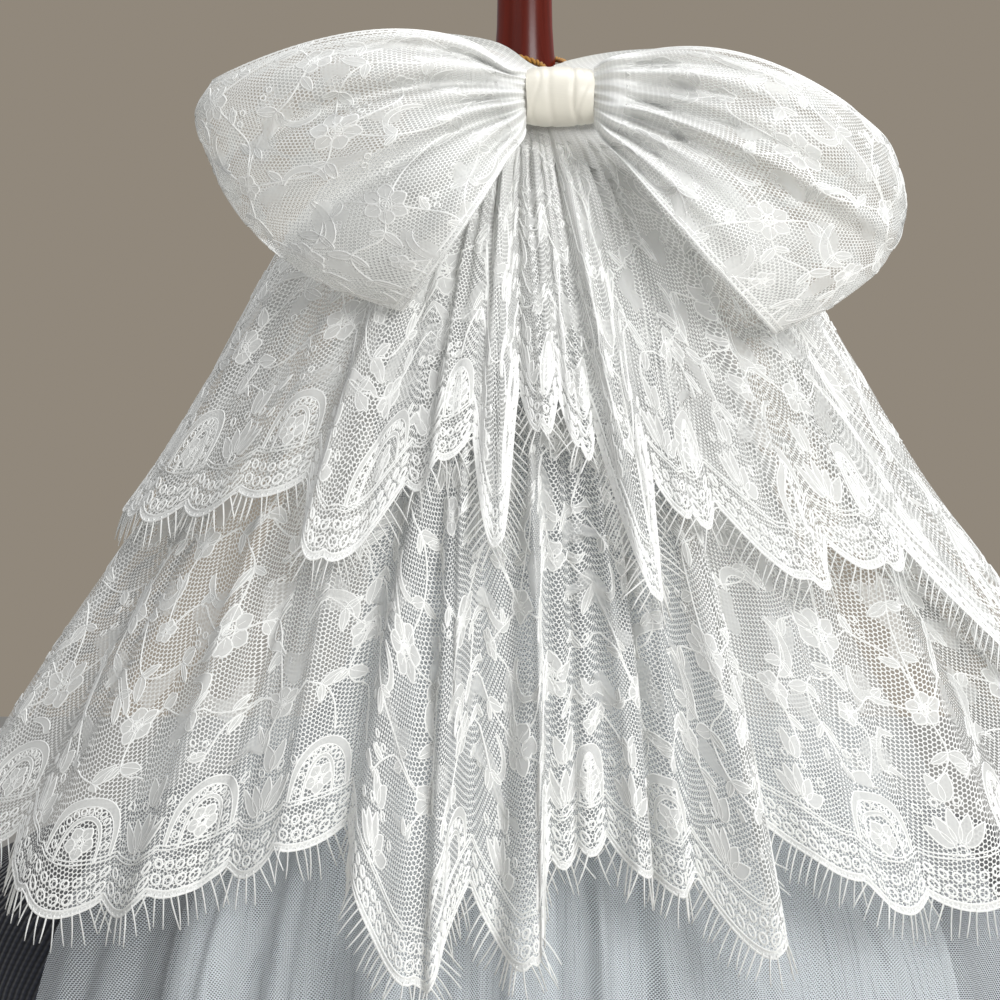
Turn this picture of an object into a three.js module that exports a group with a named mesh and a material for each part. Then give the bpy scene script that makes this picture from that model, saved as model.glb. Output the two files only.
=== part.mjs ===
// A bridal veil on a dress form, in millimetres, +Z up.
// The veil is a lace bow over two tiers of scalloped lace with an eyelash fringe, over two layers of plain
// tulle. All four layers are gathered into one bound head, which hangs by a cord from the turned finial of a
// limbless dress form on a round base. The side with the bow faces -Y. The origin is the centre of the base's
// underside.
import * as THREE from "three";

// Driving dimensions
const KNOT_HEIGHT = 860; // the middle of the bow's knot, above the table
const VEIL_CENTRE_X = 2; // the middle of the tiers, beside the form's own axis
const CLOTH = 1; // wall of the tiers, the tulle and the binding
const BOW_CLOTH = 1.2; // wall of the bow's doubled lace
const SEAM_GAP = 0.3; // between pieces that are sewn or rest on each other

const HEAD = { top: 0.4, foot: 6, arc: 115 }; // the gathered edge in the binding, below the knot's middle
const BINDING = { inner: 28.3, outer: 36.2, top: 2, foot: -5.4, arc: 117, turns: 22 };
const KNOT = { x: 9.5, y: -48.7, wide: 19, tall: 17, deep: 19, wall: 1.5, crown: 1.4 };
// one eyelash of the fringe, the strip that holds it, and the gap between that strip and the hem
const LASH = { length: 7.5, width: 0.9, band: 3, gap: 0.5 };
const FAN_OUT = 150; // the pleats have swung from the binding to their place on the hem at this depth
const CORD = { radius: 0.9, sides: 6, steps: 26 };
const ROUND = 20; // sides of a turned piece

const DEG = Math.PI / 180;

const mix = (a, b, share) => a + (b - a) * share;
const clamp01 = (x) => Math.min(1, Math.max(0, x));
const ease = (x) => {
  const c = clamp01(x);
  return c * c * (3 - 2 * c);
};

// The value of one column of a table at a place along another column, on a curve that never overshoots the
// rows.
function read(table, along, column, at) {
  const last = table.length - 1;
  if (at <= table[0][along]) return table[0][column];
  if (at >= table[last][along]) return table[last][column];
  const rate = (k) =>
    (table[k + 1][column] - table[k][column]) / (table[k + 1][along] - table[k][along]);
  const slope = (k) => {
    if (k === 0 || k === last) return k === 0 ? rate(0) : rate(last - 1);
    const [before, after] = [rate(k - 1), rate(k)];
    return before * after <= 0 ? 0 : (2 * before * after) / (before + after);
  };
  let i = 0;
  while (table[i + 1][along] < at) i++;
  const step = table[i + 1][along] - table[i][along];
  const f = (at - table[i][along]) / step;
  const f2 = f * f;
  const f3 = f2 * f;
  return (
    table[i][column] * (2 * f3 - 3 * f2 + 1) +
    slope(i) * step * (f3 - 2 * f2 + f) +
    table[i + 1][column] * (3 * f2 - 2 * f3) +
    slope(i + 1) * step * (f3 - f2)
  );
}

function indexed(points, faces) {
  const geometry = new THREE.BufferGeometry().setFromPoints(points);
  geometry.setIndex(faces);
  geometry.computeVertexNormals();
  return geometry;
}

// A closed wall through a grid of points, rows[row][column], half its thickness to each side.
function wall(rows, thickness) {
  const down = rows.length;
  const across = rows[0].length;
  const normalAt = (r, c) => {
    const along = rows[r][Math.min(across - 1, c + 1)].clone().sub(rows[r][Math.max(0, c - 1)]);
    const fall = rows[Math.min(down - 1, r + 1)][c].clone().sub(rows[Math.max(0, r - 1)][c]);
    return fall.cross(along).normalize();
  };
  const points = [];
  for (const side of [0.5, -0.5])
    for (let r = 0; r < down; r++)
      for (let c = 0; c < across; c++)
        points.push(rows[r][c].clone().addScaledVector(normalAt(r, c), side * thickness));
  const outer = (r, c) => r * across + c;
  const inner = (r, c) => down * across + r * across + c;
  const faces = [];
  const quad = (a, b, c, d) => faces.push(a, b, c, a, c, d);
  for (let r = 0; r + 1 < down; r++)
    for (let c = 0; c + 1 < across; c++) {
      quad(outer(r, c), outer(r + 1, c), outer(r + 1, c + 1), outer(r, c + 1));
      quad(inner(r, c), inner(r, c + 1), inner(r + 1, c + 1), inner(r + 1, c));
    }
  for (let c = 0; c + 1 < across; c++) {
    quad(outer(0, c), outer(0, c + 1), inner(0, c + 1), inner(0, c));
    quad(outer(down - 1, c), inner(down - 1, c), inner(down - 1, c + 1), outer(down - 1, c + 1));
  }
  for (let r = 0; r + 1 < down; r++) {
    quad(outer(r, 0), inner(r, 0), inner(r + 1, 0), outer(r + 1, 0));
    quad(outer(r, across - 1), outer(r + 1, across - 1), inner(r + 1, across - 1), inner(r, across - 1));
  }
  return indexed(points, faces);
}

// A closed solid through rings of points, rings[level][corner], each level with a flat end cap.
function loft(rings) {
  const corners = rings[0].length;
  const points = rings.flat();
  const faces = [];
  for (let k = 0; k + 1 < rings.length; k++)
    for (let c = 0; c < corners; c++) {
      const next = (c + 1) % corners;
      const [a, b] = [k * corners + c, k * corners + next];
      faces.push(a, b, b + corners, a, b + corners, a + corners);
    }
  const top = (rings.length - 1) * corners;
  for (let c = 1; c + 1 < corners; c++) faces.push(0, c + 1, c, top, top + c, top + c + 1);
  return indexed(points, faces);
}

// A turned solid from its profile, rows of radius and height, from the axis at the foot to that at the top.
function turned(profile) {
  const outline = profile.map(([radius, height]) => new THREE.Vector2(radius, height));
  return new THREE.LatheGeometry(outline, ROUND).rotateX(Math.PI / 2);
}

const finish = (color, roughness, metalness = 0) =>
  new THREE.MeshStandardMaterial({ color, roughness, metalness });
const FINISHES = {
  lace: () => finish("#f2f1ec", 0.85),
  tulle: () => finish("#e9edf2", 0.8),
  satin: () => finish("#f4efe2", 0.45),
  binding: () => finish("#efece4", 0.7),
  cord: () => finish("#b07a24", 0.6),
  wood: () => finish("#5a1208", 0.3),
  cover: () => finish("#15171c", 0.9),
};

const model = new THREE.Group();
const veil = new THREE.Group();
veil.position.set(0, 0, KNOT_HEIGHT);
model.add(veil);

function add(group, name, geometry, material) {
  const mesh = new THREE.Mesh(geometry, FINISHES[material]());
  mesh.name = name;
  group.add(mesh);
}

// How far a layer stands out from the veil's axis at each depth below the knot: to the side, to the front
// (-Y) and to the rear, and the share of its pleats' depth that has opened there.
const LACE_REACH = [
  { down: 0, side: 32.9, front: 32.9, rear: 32.9, pleat: 0 },
  { down: 6.3, side: 32.9, front: 32.9, rear: 32.9, pleat: 0 },
  { down: 12, side: 39, front: 38, rear: 37, pleat: 0.05 },
  { down: 22, side: 52, front: 48, rear: 46, pleat: 0.1 },
  { down: 45, side: 68, front: 62, rear: 58, pleat: 0.2 },
  { down: 78, side: 86, front: 78, rear: 70, pleat: 0.32 },
  { down: 110, side: 104, front: 90, rear: 80, pleat: 0.44 },
  { down: 150, side: 131, front: 104, rear: 94, pleat: 0.62 },
  { down: 185, side: 153, front: 115, rear: 107, pleat: 0.8 },
  { down: 215, side: 170, front: 124, rear: 118, pleat: 0.95 },
  { down: 260, side: 187, front: 136, rear: 130, pleat: 1.05 },
];
const TULLE_REACH = [
  { down: 0, side: 30.1, front: 30.1, rear: 30.1, pleat: 0 },
  { down: 6.3, side: 30.1, front: 30.1, rear: 30.1, pleat: 0 },
  { down: 22, side: 38, front: 39, rear: 37, pleat: 0.12 },
  { down: 40, side: 48, front: 48, rear: 47.5, pleat: 0.25 },
  { down: 78, side: 62, front: 62, rear: 58, pleat: 0.5 },
  { down: 113, side: 78, front: 71, rear: 66, pleat: 0.65 },
  { down: 150, side: 104, front: 80, rear: 76, pleat: 0.78 },
  { down: 190, side: 136, front: 88, rear: 86, pleat: 0.88 },
  { down: 240, side: 168, front: 102, rear: 98, pleat: 0.98 },
  { down: 350, side: 190, front: 122, rear: 112, pleat: 1.1 },
  { down: 600, side: 206, front: 138, rear: 124, pleat: 1.3 },
];

// How far an upper layer stands off the layer that it lies on.
const OVER_LACE = [
  { down: 0, rise: 1.5 },
  { down: 6.3, rise: 1.5 },
  { down: 14, rise: 4 },
  { down: 22, rise: 5 },
  { down: 78, rise: 7.2 },
  { down: 150, rise: 12 },
  { down: 185, rise: 15.5 },
];
const OVER_TULLE = [
  { down: 0, rise: 1.4 },
  { down: 6.3, rise: 1.4 },
  { down: 22, rise: 3.2 },
  { down: 78, rise: 5 },
  { down: 240, rise: 8.4 },
  { down: 600, rise: 11 },
];

// One row for each trough between two pleats: where it meets the hem, in degrees round from the front, how
// deep the pleat after it stands, how many degrees that pleat's crest leans to the right, the hem's depth
// below the knot, and how much lower the hem dips on the pleat.
const LONG_FOLDS = [
  { turn: -117, deep: 5, lean: 0, hem: 198, dip: 3 },
  { turn: -97, deep: 6, lean: 0, hem: 201, dip: 3 },
  { turn: -79, deep: 5, lean: 0, hem: 203, dip: 3 },
  { turn: -64, deep: 6, lean: 0, hem: 203, dip: 6 },
  { turn: -49, deep: 6, lean: 0, hem: 217, dip: 2 },
  { turn: -36, deep: 6, lean: 0, hem: 206, dip: 0 },
  { turn: -23.5, deep: 14, lean: 3, hem: 194, dip: 31 },
  { turn: -8, deep: 10, lean: 2.6, hem: 209, dip: 22 },
  { turn: 2, deep: 5, lean: 0, hem: 202, dip: 0 },
  { turn: 9, deep: 6, lean: 0, hem: 197, dip: 4 },
  { turn: 19.5, deep: 12, lean: 2.2, hem: 207, dip: 24 },
  { turn: 27.5, deep: 9, lean: 0, hem: 193, dip: 5 },
  { turn: 45, deep: 8, lean: 0, hem: 215, dip: 3 },
  { turn: 60, deep: 6, lean: 0, hem: 206, dip: 3 },
  { turn: 79, deep: 6, lean: 0, hem: 203, dip: 3 },
  { turn: 98, deep: 5, lean: 0, hem: 201, dip: 3 },
  { turn: 117, deep: 0, lean: 0, hem: 198, dip: 0 },
];
const SHORT_FOLDS = [
  { turn: -117, deep: 4, lean: 0, hem: 104, dip: 3 },
  { turn: -95, deep: 4, lean: 0, hem: 108, dip: 3 },
  { turn: -75, deep: 4, lean: 0, hem: 112, dip: 2 },
  { turn: -58, deep: 5, lean: 0, hem: 113, dip: 0 },
  { turn: -36, deep: 9, lean: -1.5, hem: 104, dip: 20 },
  { turn: -20, deep: 7, lean: 0, hem: 105, dip: 0 },
  { turn: -10, deep: 9, lean: 1.6, hem: 92, dip: 34 },
  { turn: -2, deep: 8, lean: 1, hem: 80, dip: 20 },
  { turn: 5, deep: 7, lean: 0, hem: 82, dip: 16 },
  { turn: 11, deep: 9, lean: 1, hem: 92, dip: 36 },
  { turn: 19, deep: 7, lean: 0, hem: 104, dip: 6 },
  { turn: 28, deep: 8, lean: 1.5, hem: 111, dip: 14 },
  { turn: 43, deep: 6, lean: 0, hem: 122, dip: 4 },
  { turn: 56, deep: 6, lean: 0, hem: 124, dip: 22 },
  { turn: 74, deep: 5, lean: 0, hem: 146, dip: 6 },
  { turn: 95, deep: 4, lean: 0, hem: 132, dip: 3 },
  { turn: 117, deep: 0, lean: 0, hem: 118, dip: 0 },
];
const UPPER_TULLE_FOLDS = [
  { turn: -47, deep: 4, lean: 0, hem: 504, dip: 2 },
  { turn: -38, deep: 5, lean: 0, hem: 508, dip: 3 },
  { turn: -28, deep: 5, lean: 1, hem: 511, dip: 3 },
  { turn: -17, deep: 6, lean: 0, hem: 515, dip: 3 },
  { turn: -7, deep: 5, lean: 0, hem: 517, dip: 3 },
  { turn: 3, deep: 6, lean: 1, hem: 517, dip: 3 },
  { turn: 12, deep: 5, lean: 0, hem: 516, dip: 3 },
  { turn: 24, deep: 6, lean: 0, hem: 512, dip: 3 },
  { turn: 38, deep: 5, lean: 0, hem: 508, dip: 3 },
  { turn: 54, deep: 0, lean: 0, hem: 503, dip: 0 },
];
const LOWER_TULLE_FOLDS = [
  { turn: -66, deep: 4, lean: 0, hem: 570, dip: 2 },
  { turn: -54, deep: 5, lean: 0, hem: 576, dip: 3 },
  { turn: -41, deep: 5, lean: 1, hem: 581, dip: 3 },
  { turn: -27, deep: 6, lean: 0, hem: 586, dip: 3 },
  { turn: -15, deep: 5, lean: 1, hem: 589, dip: 3 },
  { turn: -5, deep: 6, lean: 0, hem: 590, dip: 3 },
  { turn: 7, deep: 5, lean: 0, hem: 590, dip: 3 },
  { turn: 17, deep: 6, lean: 1, hem: 588, dip: 3 },
  { turn: 31, deep: 5, lean: 0, hem: 584, dip: 3 },
  { turn: 47, deep: 5, lean: 0, hem: 577, dip: 3 },
  { turn: 66, deep: 0, lean: 0, hem: 570, dip: 0 },
];

// The four layers, from the outside in. Their sections lie at the depths listed, and then at even shares of
// the way to the hem. Square is the exponent of the lower sections seen from above, 2 for an ellipse.
const LAYERS = {
  short_lace: {
    finish: "lace", reach: LACE_REACH, over: OVER_LACE, folds: SHORT_FOLDS, arc: HEAD.arc, square: 2.35,
    depths: [HEAD.top, HEAD.foot, 12, 22, 38, 56], shares: 3, steps: 5, scallops: 2, scallop: 4.5,
  },
  long_lace: {
    finish: "lace", reach: LACE_REACH, over: null, folds: LONG_FOLDS, arc: HEAD.arc, square: 2.35,
    depths: [HEAD.top, HEAD.foot, 12, 22, 38, 56, 84, 118, 155], shares: 2, steps: 5,
    scallops: 2, scallop: 4.5,
  },
  upper_tulle: {
    finish: "tulle", reach: TULLE_REACH, over: OVER_TULLE, folds: UPPER_TULLE_FOLDS, arc: 80, square: 2,
    depths: [HEAD.top, HEAD.foot, 22, 40, 75, 115, 160, 215], shares: 2, steps: 4, scallops: 0, scallop: 0,
  },
  lower_tulle: {
    finish: "tulle", reach: TULLE_REACH, over: null, folds: LOWER_TULLE_FOLDS, arc: 82, square: 2,
    depths: [HEAD.top, HEAD.foot, 22, 40, 75, 115, 160, 215], shares: 2, steps: 4, scallops: 0, scallop: 0,
  },
};

const columnsOf = (layer) => (layer.folds.length - 1) * layer.steps;

// The hem's depth at pleat number u, counted from the layer's left edge.
function hemAt(layer, u) {
  const { folds, scallops, scallop } = layer;
  const i = Math.min(folds.length - 2, Math.floor(u));
  const g = u - i;
  const bulge = (1 - Math.cos(2 * Math.PI * g)) / 2;
  const lobe = scallops ? Math.abs(Math.sin(Math.PI * scallops * g)) ** 0.7 : 0;
  return mix(folds[i].hem, folds[i + 1].hem, ease(g)) + folds[i].dip * bulge + scallop * lobe;
}

// The point of a layer at pleat number u and at a depth below the knot. Near the front the pleats are
// gathered closer together in the binding than they are at the sides.
function onLayer(layer, u, down) {
  const { folds, reach, over } = layer;
  const pleats = folds.length - 1;
  const i = Math.min(pleats - 1, Math.floor(u));
  const g = u - i;
  const bulge = (1 - Math.cos(2 * Math.PI * g)) / 2;
  const lean = folds[i].lean * bulge * ease((down - 40) / 130);
  const hemTurn = mix(folds[i].turn, folds[i + 1].turn, g) + lean;
  const place = (2 * u) / pleats - 1;
  const headTurn = layer.arc * place * mix(0.4, 1, place * place);
  const turn = mix(headTurn, hemTurn, ease(Math.sqrt(down / FAN_OUT))) * DEG;
  const side = read(reach, "down", "side", down);
  const ahead = read(reach, "down", Math.cos(turn) > 0 ? "front" : "rear", down);
  const square = mix(2, layer.square, ease((down - HEAD.foot) / 60));
  const sideways = Math.abs(Math.sin(turn) / side) ** square;
  const forwards = Math.abs(Math.cos(turn) / ahead) ** square;
  const radius = (sideways + forwards) ** (-1 / square);
  const rise = over ? read(over, "down", "rise", down) : 0;
  const out = radius + rise + folds[i].deep * bulge * read(reach, "down", "pleat", down);
  return new THREE.Vector3(VEIL_CENTRE_X + out * Math.sin(turn), -out * Math.cos(turn), -down);
}

function layerRows(layer) {
  const columns = Array.from({ length: columnsOf(layer) + 1 }, (_, c) => c / layer.steps);
  const last = layer.depths[layer.depths.length - 1];
  const atDepth = layer.depths.map((down) => columns.map((u) => onLayer(layer, u, down)));
  const toHem = Array.from({ length: layer.shares }, (_, k) =>
    columns.map((u) => onLayer(layer, u, mix(last, hemAt(layer, u), (k + 1) / layer.shares))),
  );
  return [...atDepth, ...toHem];
}

for (const [name, layer] of Object.entries(LAYERS)) {
  add(veil, name, wall(layerRows(layer), CLOTH), layer.finish);
}

// The eyelash fringe of a tier: a narrow strip just below the scalloped hem, with a row of lashes fused to
// it. It is made from the points of the hem, moved down along the cloth.
function fringe(layer) {
  const rows = layerRows(layer);
  const hem = rows[rows.length - 1];
  const above = rows[rows.length - 2];
  const last = hem.length - 1;
  const fall = hem.map((point, c) => point.clone().sub(above[c]).normalize());
  const outward = hem.map((_, c) => {
    const along = hem[Math.min(last, c + 1)].clone().sub(hem[Math.max(0, c - 1)]);
    return fall[c].clone().cross(along).normalize();
  });
  const at = (c, below, side) => {
    const i = Math.min(last - 1, Math.floor(c));
    const down = fall[i].clone().lerp(fall[i + 1], c - i);
    const out = outward[i].clone().lerp(outward[i + 1], c - i);
    const point = hem[i].clone().lerp(hem[i + 1], c - i);
    return point.addScaledVector(down, below).addScaledVector(out, (side * CLOTH) / 2);
  };
  const points = [];
  const put = (c, below, side) => points.push(at(c, below, side)) - 1;
  const foot = LASH.gap + LASH.band;
  const stations = hem.map((_, c) => {
    const half = LASH.width / 2 / hem[Math.max(0, c - 1)].distanceTo(hem[Math.max(1, c)]);
    const middle = Math.min(last - half, Math.max(half, c));
    const [outer, inner] = [1, -1].map((side) => ({
      top: put(c, LASH.gap, side),
      left: put(middle - half, foot, side),
      right: put(middle + half, foot, side),
    }));
    return { outer, inner, tip: put(middle, foot + LASH.length, 0) };
  });
  const faces = [];
  const quad = (a, b, c, d) => faces.push(a, b, c, a, c, d);
  for (const { outer, inner, tip } of stations) {
    faces.push(outer.top, outer.left, outer.right, inner.top, inner.right, inner.left);
    faces.push(outer.left, tip, outer.right, inner.left, inner.right, tip);
    faces.push(outer.left, inner.left, tip, outer.right, tip, inner.right);
  }
  for (let k = 0; k < last; k++) {
    const [a, b] = [stations[k], stations[k + 1]];
    quad(a.outer.top, a.outer.right, b.outer.left, b.outer.top);
    quad(a.inner.top, b.inner.top, b.inner.left, a.inner.right);
    quad(a.outer.top, b.outer.top, b.inner.top, a.inner.top);
    quad(a.outer.right, a.inner.right, b.inner.left, b.outer.left);
  }
  const [first, end] = [stations[0], stations[last]];
  quad(first.outer.top, first.inner.top, first.inner.left, first.outer.left);
  quad(end.outer.top, end.outer.right, end.inner.right, end.inner.top);
  return indexed(points, faces);
}
add(veil, "long_fringe", fringe(LAYERS.long_lace), "lace");
add(veil, "short_fringe", fringe(LAYERS.short_lace), "lace");

// The binding that holds the four gathered edges: a channel, open below, on an arc round the finial.
function binding() {
  const { inner, outer, top, foot, arc, turns } = BINDING;
  const section = [
    [outer, foot], [outer, top], [inner, top], [inner, foot],
    [inner + CLOTH, foot], [inner + CLOTH, top - CLOTH],
    [outer - CLOTH, top - CLOTH], [outer - CLOTH, foot],
  ];
  const ringAt = (k) => {
    const turn = mix(-arc, arc, k / turns) * DEG;
    return section.map(([radius, z]) =>
      new THREE.Vector3(VEIL_CENTRE_X + radius * Math.sin(turn), -radius * Math.cos(turn), z));
  };
  const rings = Array.from({ length: turns + 1 }, (_, k) => ringAt(k));
  const corners = section.length;
  const faces = [];
  for (let k = 0; k < turns; k++)
    for (let c = 0; c < corners; c++) {
      const [a, b] = [k * corners + c, k * corners + ((c + 1) % corners)];
      faces.push(a, a + corners, b + corners, a, b + corners, b);
    }
  // the end of the channel is a U: one quad for each leaf and one for the top
  const cap = [[0, 1, 6, 7], [1, 2, 5, 6], [2, 3, 4, 5]];
  const last = turns * corners;
  for (const [a, b, c, d] of cap) {
    faces.push(a, b, c, a, c, d);
    faces.push(last + a, last + c, last + b, last + a, last + d, last + c);
  }
  return indexed(rings.flat(), faces);
}
add(veil, "head_binding", binding(), "binding");

// The rays of a bow loop, from its upper edge (0) to its lower edge (1), seen from the knot's middle: where
// the ray ends on the outer fold, and the point that it bends towards on the way.
const LEFT_LOOP = [
  { across: 0, endX: -97, endY: 4, endZ: 5, bendX: -42, bendY: -5, bendZ: 29 },
  { across: 0.15, endX: -102, endY: 3, endZ: -5, bendX: -46, bendY: -7, bendZ: 21 },
  { across: 0.35, endX: -97, endY: 0, endZ: -20, bendX: -44, bendY: -11, bendZ: 6 },
  { across: 0.6, endX: -86, endY: -8, endZ: -37, bendX: -38, bendY: -19, bendZ: -8 },
  { across: 0.82, endX: -66, endY: -20, endZ: -52, bendX: -30, bendY: -32, bendZ: -22 },
  { across: 1, endX: -43, endY: -30, endZ: -60, bendX: -21, bendY: -42, bendZ: -33 },
];
const RIGHT_LOOP = [
  { across: 0, endX: 82, endY: 4, endZ: -3, bendX: 42, bendY: -5, bendZ: 22 },
  { across: 0.18, endX: 93, endY: 3, endZ: -14, bendX: 46, bendY: -7, bendZ: 14 },
  { across: 0.4, endX: 97, endY: 0, endZ: -30, bendX: 48, bendY: -12, bendZ: -2 },
  { across: 0.62, endX: 91, endY: -8, endZ: -45, bendX: 44, bendY: -21, bendZ: -15 },
  { across: 0.82, endX: 77, endY: -19, endZ: -57, bendX: 38, bendY: -34, bendZ: -26 },
  { across: 1, endX: 58, endY: -28, endZ: -66, bendX: 28, bendY: -42, bendZ: -36 },
];
const LOOP = {
  pinch: 3.6, // half the height of the gathered middle, inside the knot
  gathered: 2.4, // half the depth of the gathered middle
  front: 23, // how far the front panel puffs out
  back: 7.5, // how far the back panel does
  fold: 2.6, // depth of the folds that radiate from the knot
  folds: 5,
  across: 14,
  round: 16,
};

// A point of a bow loop. Across runs from the upper edge to the lower, and round from the front panel's
// gathered end over the outer fold to the back panel's.
function onLoop(rays, across, round) {
  const far = Math.sin(Math.PI * round);
  const end = ["endX", "endY", "endZ"].map((column) => read(rays, "across", column, across));
  const bend = ["bendX", "bendY", "bendZ"].map((column) => read(rays, "across", column, across));
  const hand = Math.sign(end[0]);
  const start = [hand * (KNOT.wide / 2 + 0.2), 0, mix(LOOP.pinch, -LOOP.pinch, across)];
  const [x, y, z] = start.map(
    (from, k) => from * (1 - far) ** 2 + 2 * bend[k] * far * (1 - far) + end[k] * far ** 2,
  );
  const isFront = round < 0.5;
  const puff = mix(LOOP.gathered, isFront ? LOOP.front : LOOP.back, ease(far / 0.62));
  const edge = mix(0.72, 1, Math.sin(Math.PI * across));
  const wave = Math.sin(2 * Math.PI * LOOP.folds * across + hand) * LOOP.fold * ease(far / 0.5) * (1 - far);
  const out = puff * edge * Math.cos(Math.PI * round) + (isFront ? wave : -wave / 2);
  return new THREE.Vector3(KNOT.x + x, KNOT.y + y - out, z);
}

function bowLoop(rays) {
  const acrossAt = Array.from({ length: LOOP.across + 1 }, (_, k) => k / LOOP.across);
  const roundAt = Array.from({ length: LOOP.round + 1 }, (_, k) => k / LOOP.round);
  const hand = Math.sign(rays[0].endX);
  const inKnot = (round) => acrossAt.map((across) => {
    const point = onLoop(rays, across, round);
    point.x = KNOT.x + hand * SEAM_GAP;
    return point;
  });
  const columns = [
    inKnot(0),
    ...roundAt.map((round) => acrossAt.map((across) => onLoop(rays, across, round))),
    inKnot(1),
  ];
  if (hand > 0) columns.reverse();
  const rows = acrossAt.map((_, k) => columns.map((column) => column[k]));
  return wall(rows.map((row) => row.reverse()), BOW_CLOTH);
}
add(veil, "bow_loop_left", bowLoop(LEFT_LOOP), "lace");
add(veil, "bow_loop_right", bowLoop(RIGHT_LOOP), "lace");

// The satin wrap round the bow's gathered middle.
function knot() {
  const { x, y, wide, tall, deep, wall: thick, crown } = KNOT;
  const edge = deep / 2 - crown;
  const outline = [
    [edge - thick, -wide / 2], [edge, -wide / 2], [edge + crown * 0.75, -wide / 4], [deep / 2, 0],
    [edge + crown * 0.75, wide / 4], [edge, wide / 2], [edge - thick, wide / 2], [edge - thick, -wide / 2],
  ].map(([radius, along]) => new THREE.Vector2(radius, along));
  const wrap = new THREE.LatheGeometry(outline, ROUND).rotateZ(-Math.PI / 2);
  return wrap.scale(1, 1, tall / deep).translate(x, y, 0);
}
add(veil, "bow_knot", knot(), "satin");

// The cord that holds the veil's head: from behind the knot, round the finial, and back behind the knot.
function holdingCord() {
  const route = [
    [8, -37.7, -2], [8.4, -37.7, 2.9], [10, -31, 4.8], [12, -18, 8.5], [12.4, -6, 12], [10.2, 4.6, 14],
    [3.2, 10, 15.5], [-4.8, 9.1, 16], [-10.1, 1.6, 15.8], [-7.9, -6.7, 15], [-2, -10.6, 13.8],
    [4.5, -12, 11.5], [6.4, -21, 7.6], [4.8, -31, 4.8], [4, -37.7, 2.9], [4, -37.7, -2],
  ].map(([x, y, z]) => new THREE.Vector3(x, y, z));
  const section = new THREE.Shape(
    Array.from({ length: CORD.sides }, (_, k) => {
      const turn = (2 * Math.PI * k) / CORD.sides;
      return new THREE.Vector2(CORD.radius * Math.cos(turn), CORD.radius * Math.sin(turn));
    }),
  );
  return new THREE.ExtrudeGeometry(section, {
    steps: CORD.steps, bevelEnabled: false, extrudePath: new THREE.CatmullRomCurve3(route),
  });
}
add(veil, "holding_cord", holdingCord(), "cord");

// The dress form. Its body is lofted through flattened rings: half its width, its depth towards the side with
// the bow, its depth towards the other side, and the exponent of the section.
const CAP = { radius: 45, down: 40, thick: 12, round: 3 }; // the wooden cap, under the gathered tulle
const BODY = [
  { z: 104, wide: 160, near: 100, far: 96, square: 2.1 },
  { z: 112, wide: 167, near: 106, far: 100, square: 2.1 },
  { z: 190, wide: 170, near: 114, far: 102, square: 2.1 },
  { z: 250, wide: 150, near: 98, far: 94, square: 2.1 },
  { z: 310, wide: 124, near: 78, far: 84, square: 2.1 },
  { z: 380, wide: 136, near: 84, far: 100, square: 2.2 },
  { z: 470, wide: 156, near: 92, far: 124, square: 2.3 },
  { z: 550, wide: 164, near: 92, far: 106, square: 2.4 },
  { z: 600, wide: 171, near: 80, far: 84, square: 2.4 },
  { z: 624, wide: 170, near: 68, far: 70, square: 2.3 },
  { z: 643, wide: 153, near: 60, far: 60, square: 2.1 },
  { z: 655, wide: 116, near: 54, far: 54, square: 2 },
  { z: 670, wide: 78, near: 51, far: 51, square: 2 },
  { z: 690, wide: 56, near: 48, far: 48, square: 2 },
  { z: 720, wide: 46, near: 45, far: 45, square: 2 },
  { z: 808, wide: 43, near: 43, far: 43, square: 2 },
];
const BODY_CORNERS = 28;

function body() {
  return loft(
    BODY.map(({ z, wide, near, far, square }) =>
      Array.from({ length: BODY_CORNERS }, (_, c) => {
        const turn = (2 * Math.PI * c) / BODY_CORNERS;
        const [cos, sin] = [Math.cos(turn), Math.sin(turn)];
        const x = wide * Math.sign(cos) * Math.abs(cos) ** (2 / square);
        const y = (sin < 0 ? near : far) * Math.sign(sin) * Math.abs(sin) ** (2 / square);
        return new THREE.Vector3(x, y, z);
      }),
    ),
  );
}
add(model, "form_body", body(), "cover");

const capTop = KNOT_HEIGHT - CAP.down;
const capFoot = capTop - CAP.thick;
add(model, "neck_cap", turned([
  [0, capFoot], [CAP.radius - 1, capFoot], [CAP.radius, capFoot + 2], [CAP.radius, capTop - CAP.round],
  [CAP.radius - 1, capTop - 0.9], [CAP.radius - CAP.round, capTop], [0, capTop],
]), "wood");
add(model, "finial", turned([
  [0, capTop], [23, capTop], [25, capTop + 3], [24, capTop + 7], [19, capTop + 10], [18, capTop + 14],
  [15, capTop + 22], [12, capTop + 34], [10, capTop + 46], [8.6, capTop + 56], [8, capTop + 70],
  [8, capTop + 118], [11, capTop + 124], [12, capTop + 127], [15, capTop + 132], [17, capTop + 141],
  [15, capTop + 150], [10, capTop + 156], [4, capTop + 159], [0, capTop + 159.5],
]), "wood");
const BASE = { radius: 145, thick: 24 };
add(model, "base", turned([
  [0, 0], [BASE.radius - 2, 0], [BASE.radius, 2], [BASE.radius, 12], [BASE.radius - 4, 17],
  [BASE.radius - 14, 20], [BASE.radius - 24, BASE.thick], [0, BASE.thick],
]), "wood");
add(model, "post", turned([
  [0, BASE.thick], [34, BASE.thick], [36, 29], [34, 34], [22, 40], [17, 50], [16, 66], [20, 80], [27, 86],
  [30, 92], [30, BODY[0].z], [0, BODY[0].z],
]), "wood");

export default model;
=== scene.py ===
"""A lace bow veil on a dress form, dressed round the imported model.

Sizes in the tables and properties are millimetres from the middle of the bow's knot; meshes are in metres.
"""

import math
import random

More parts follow.
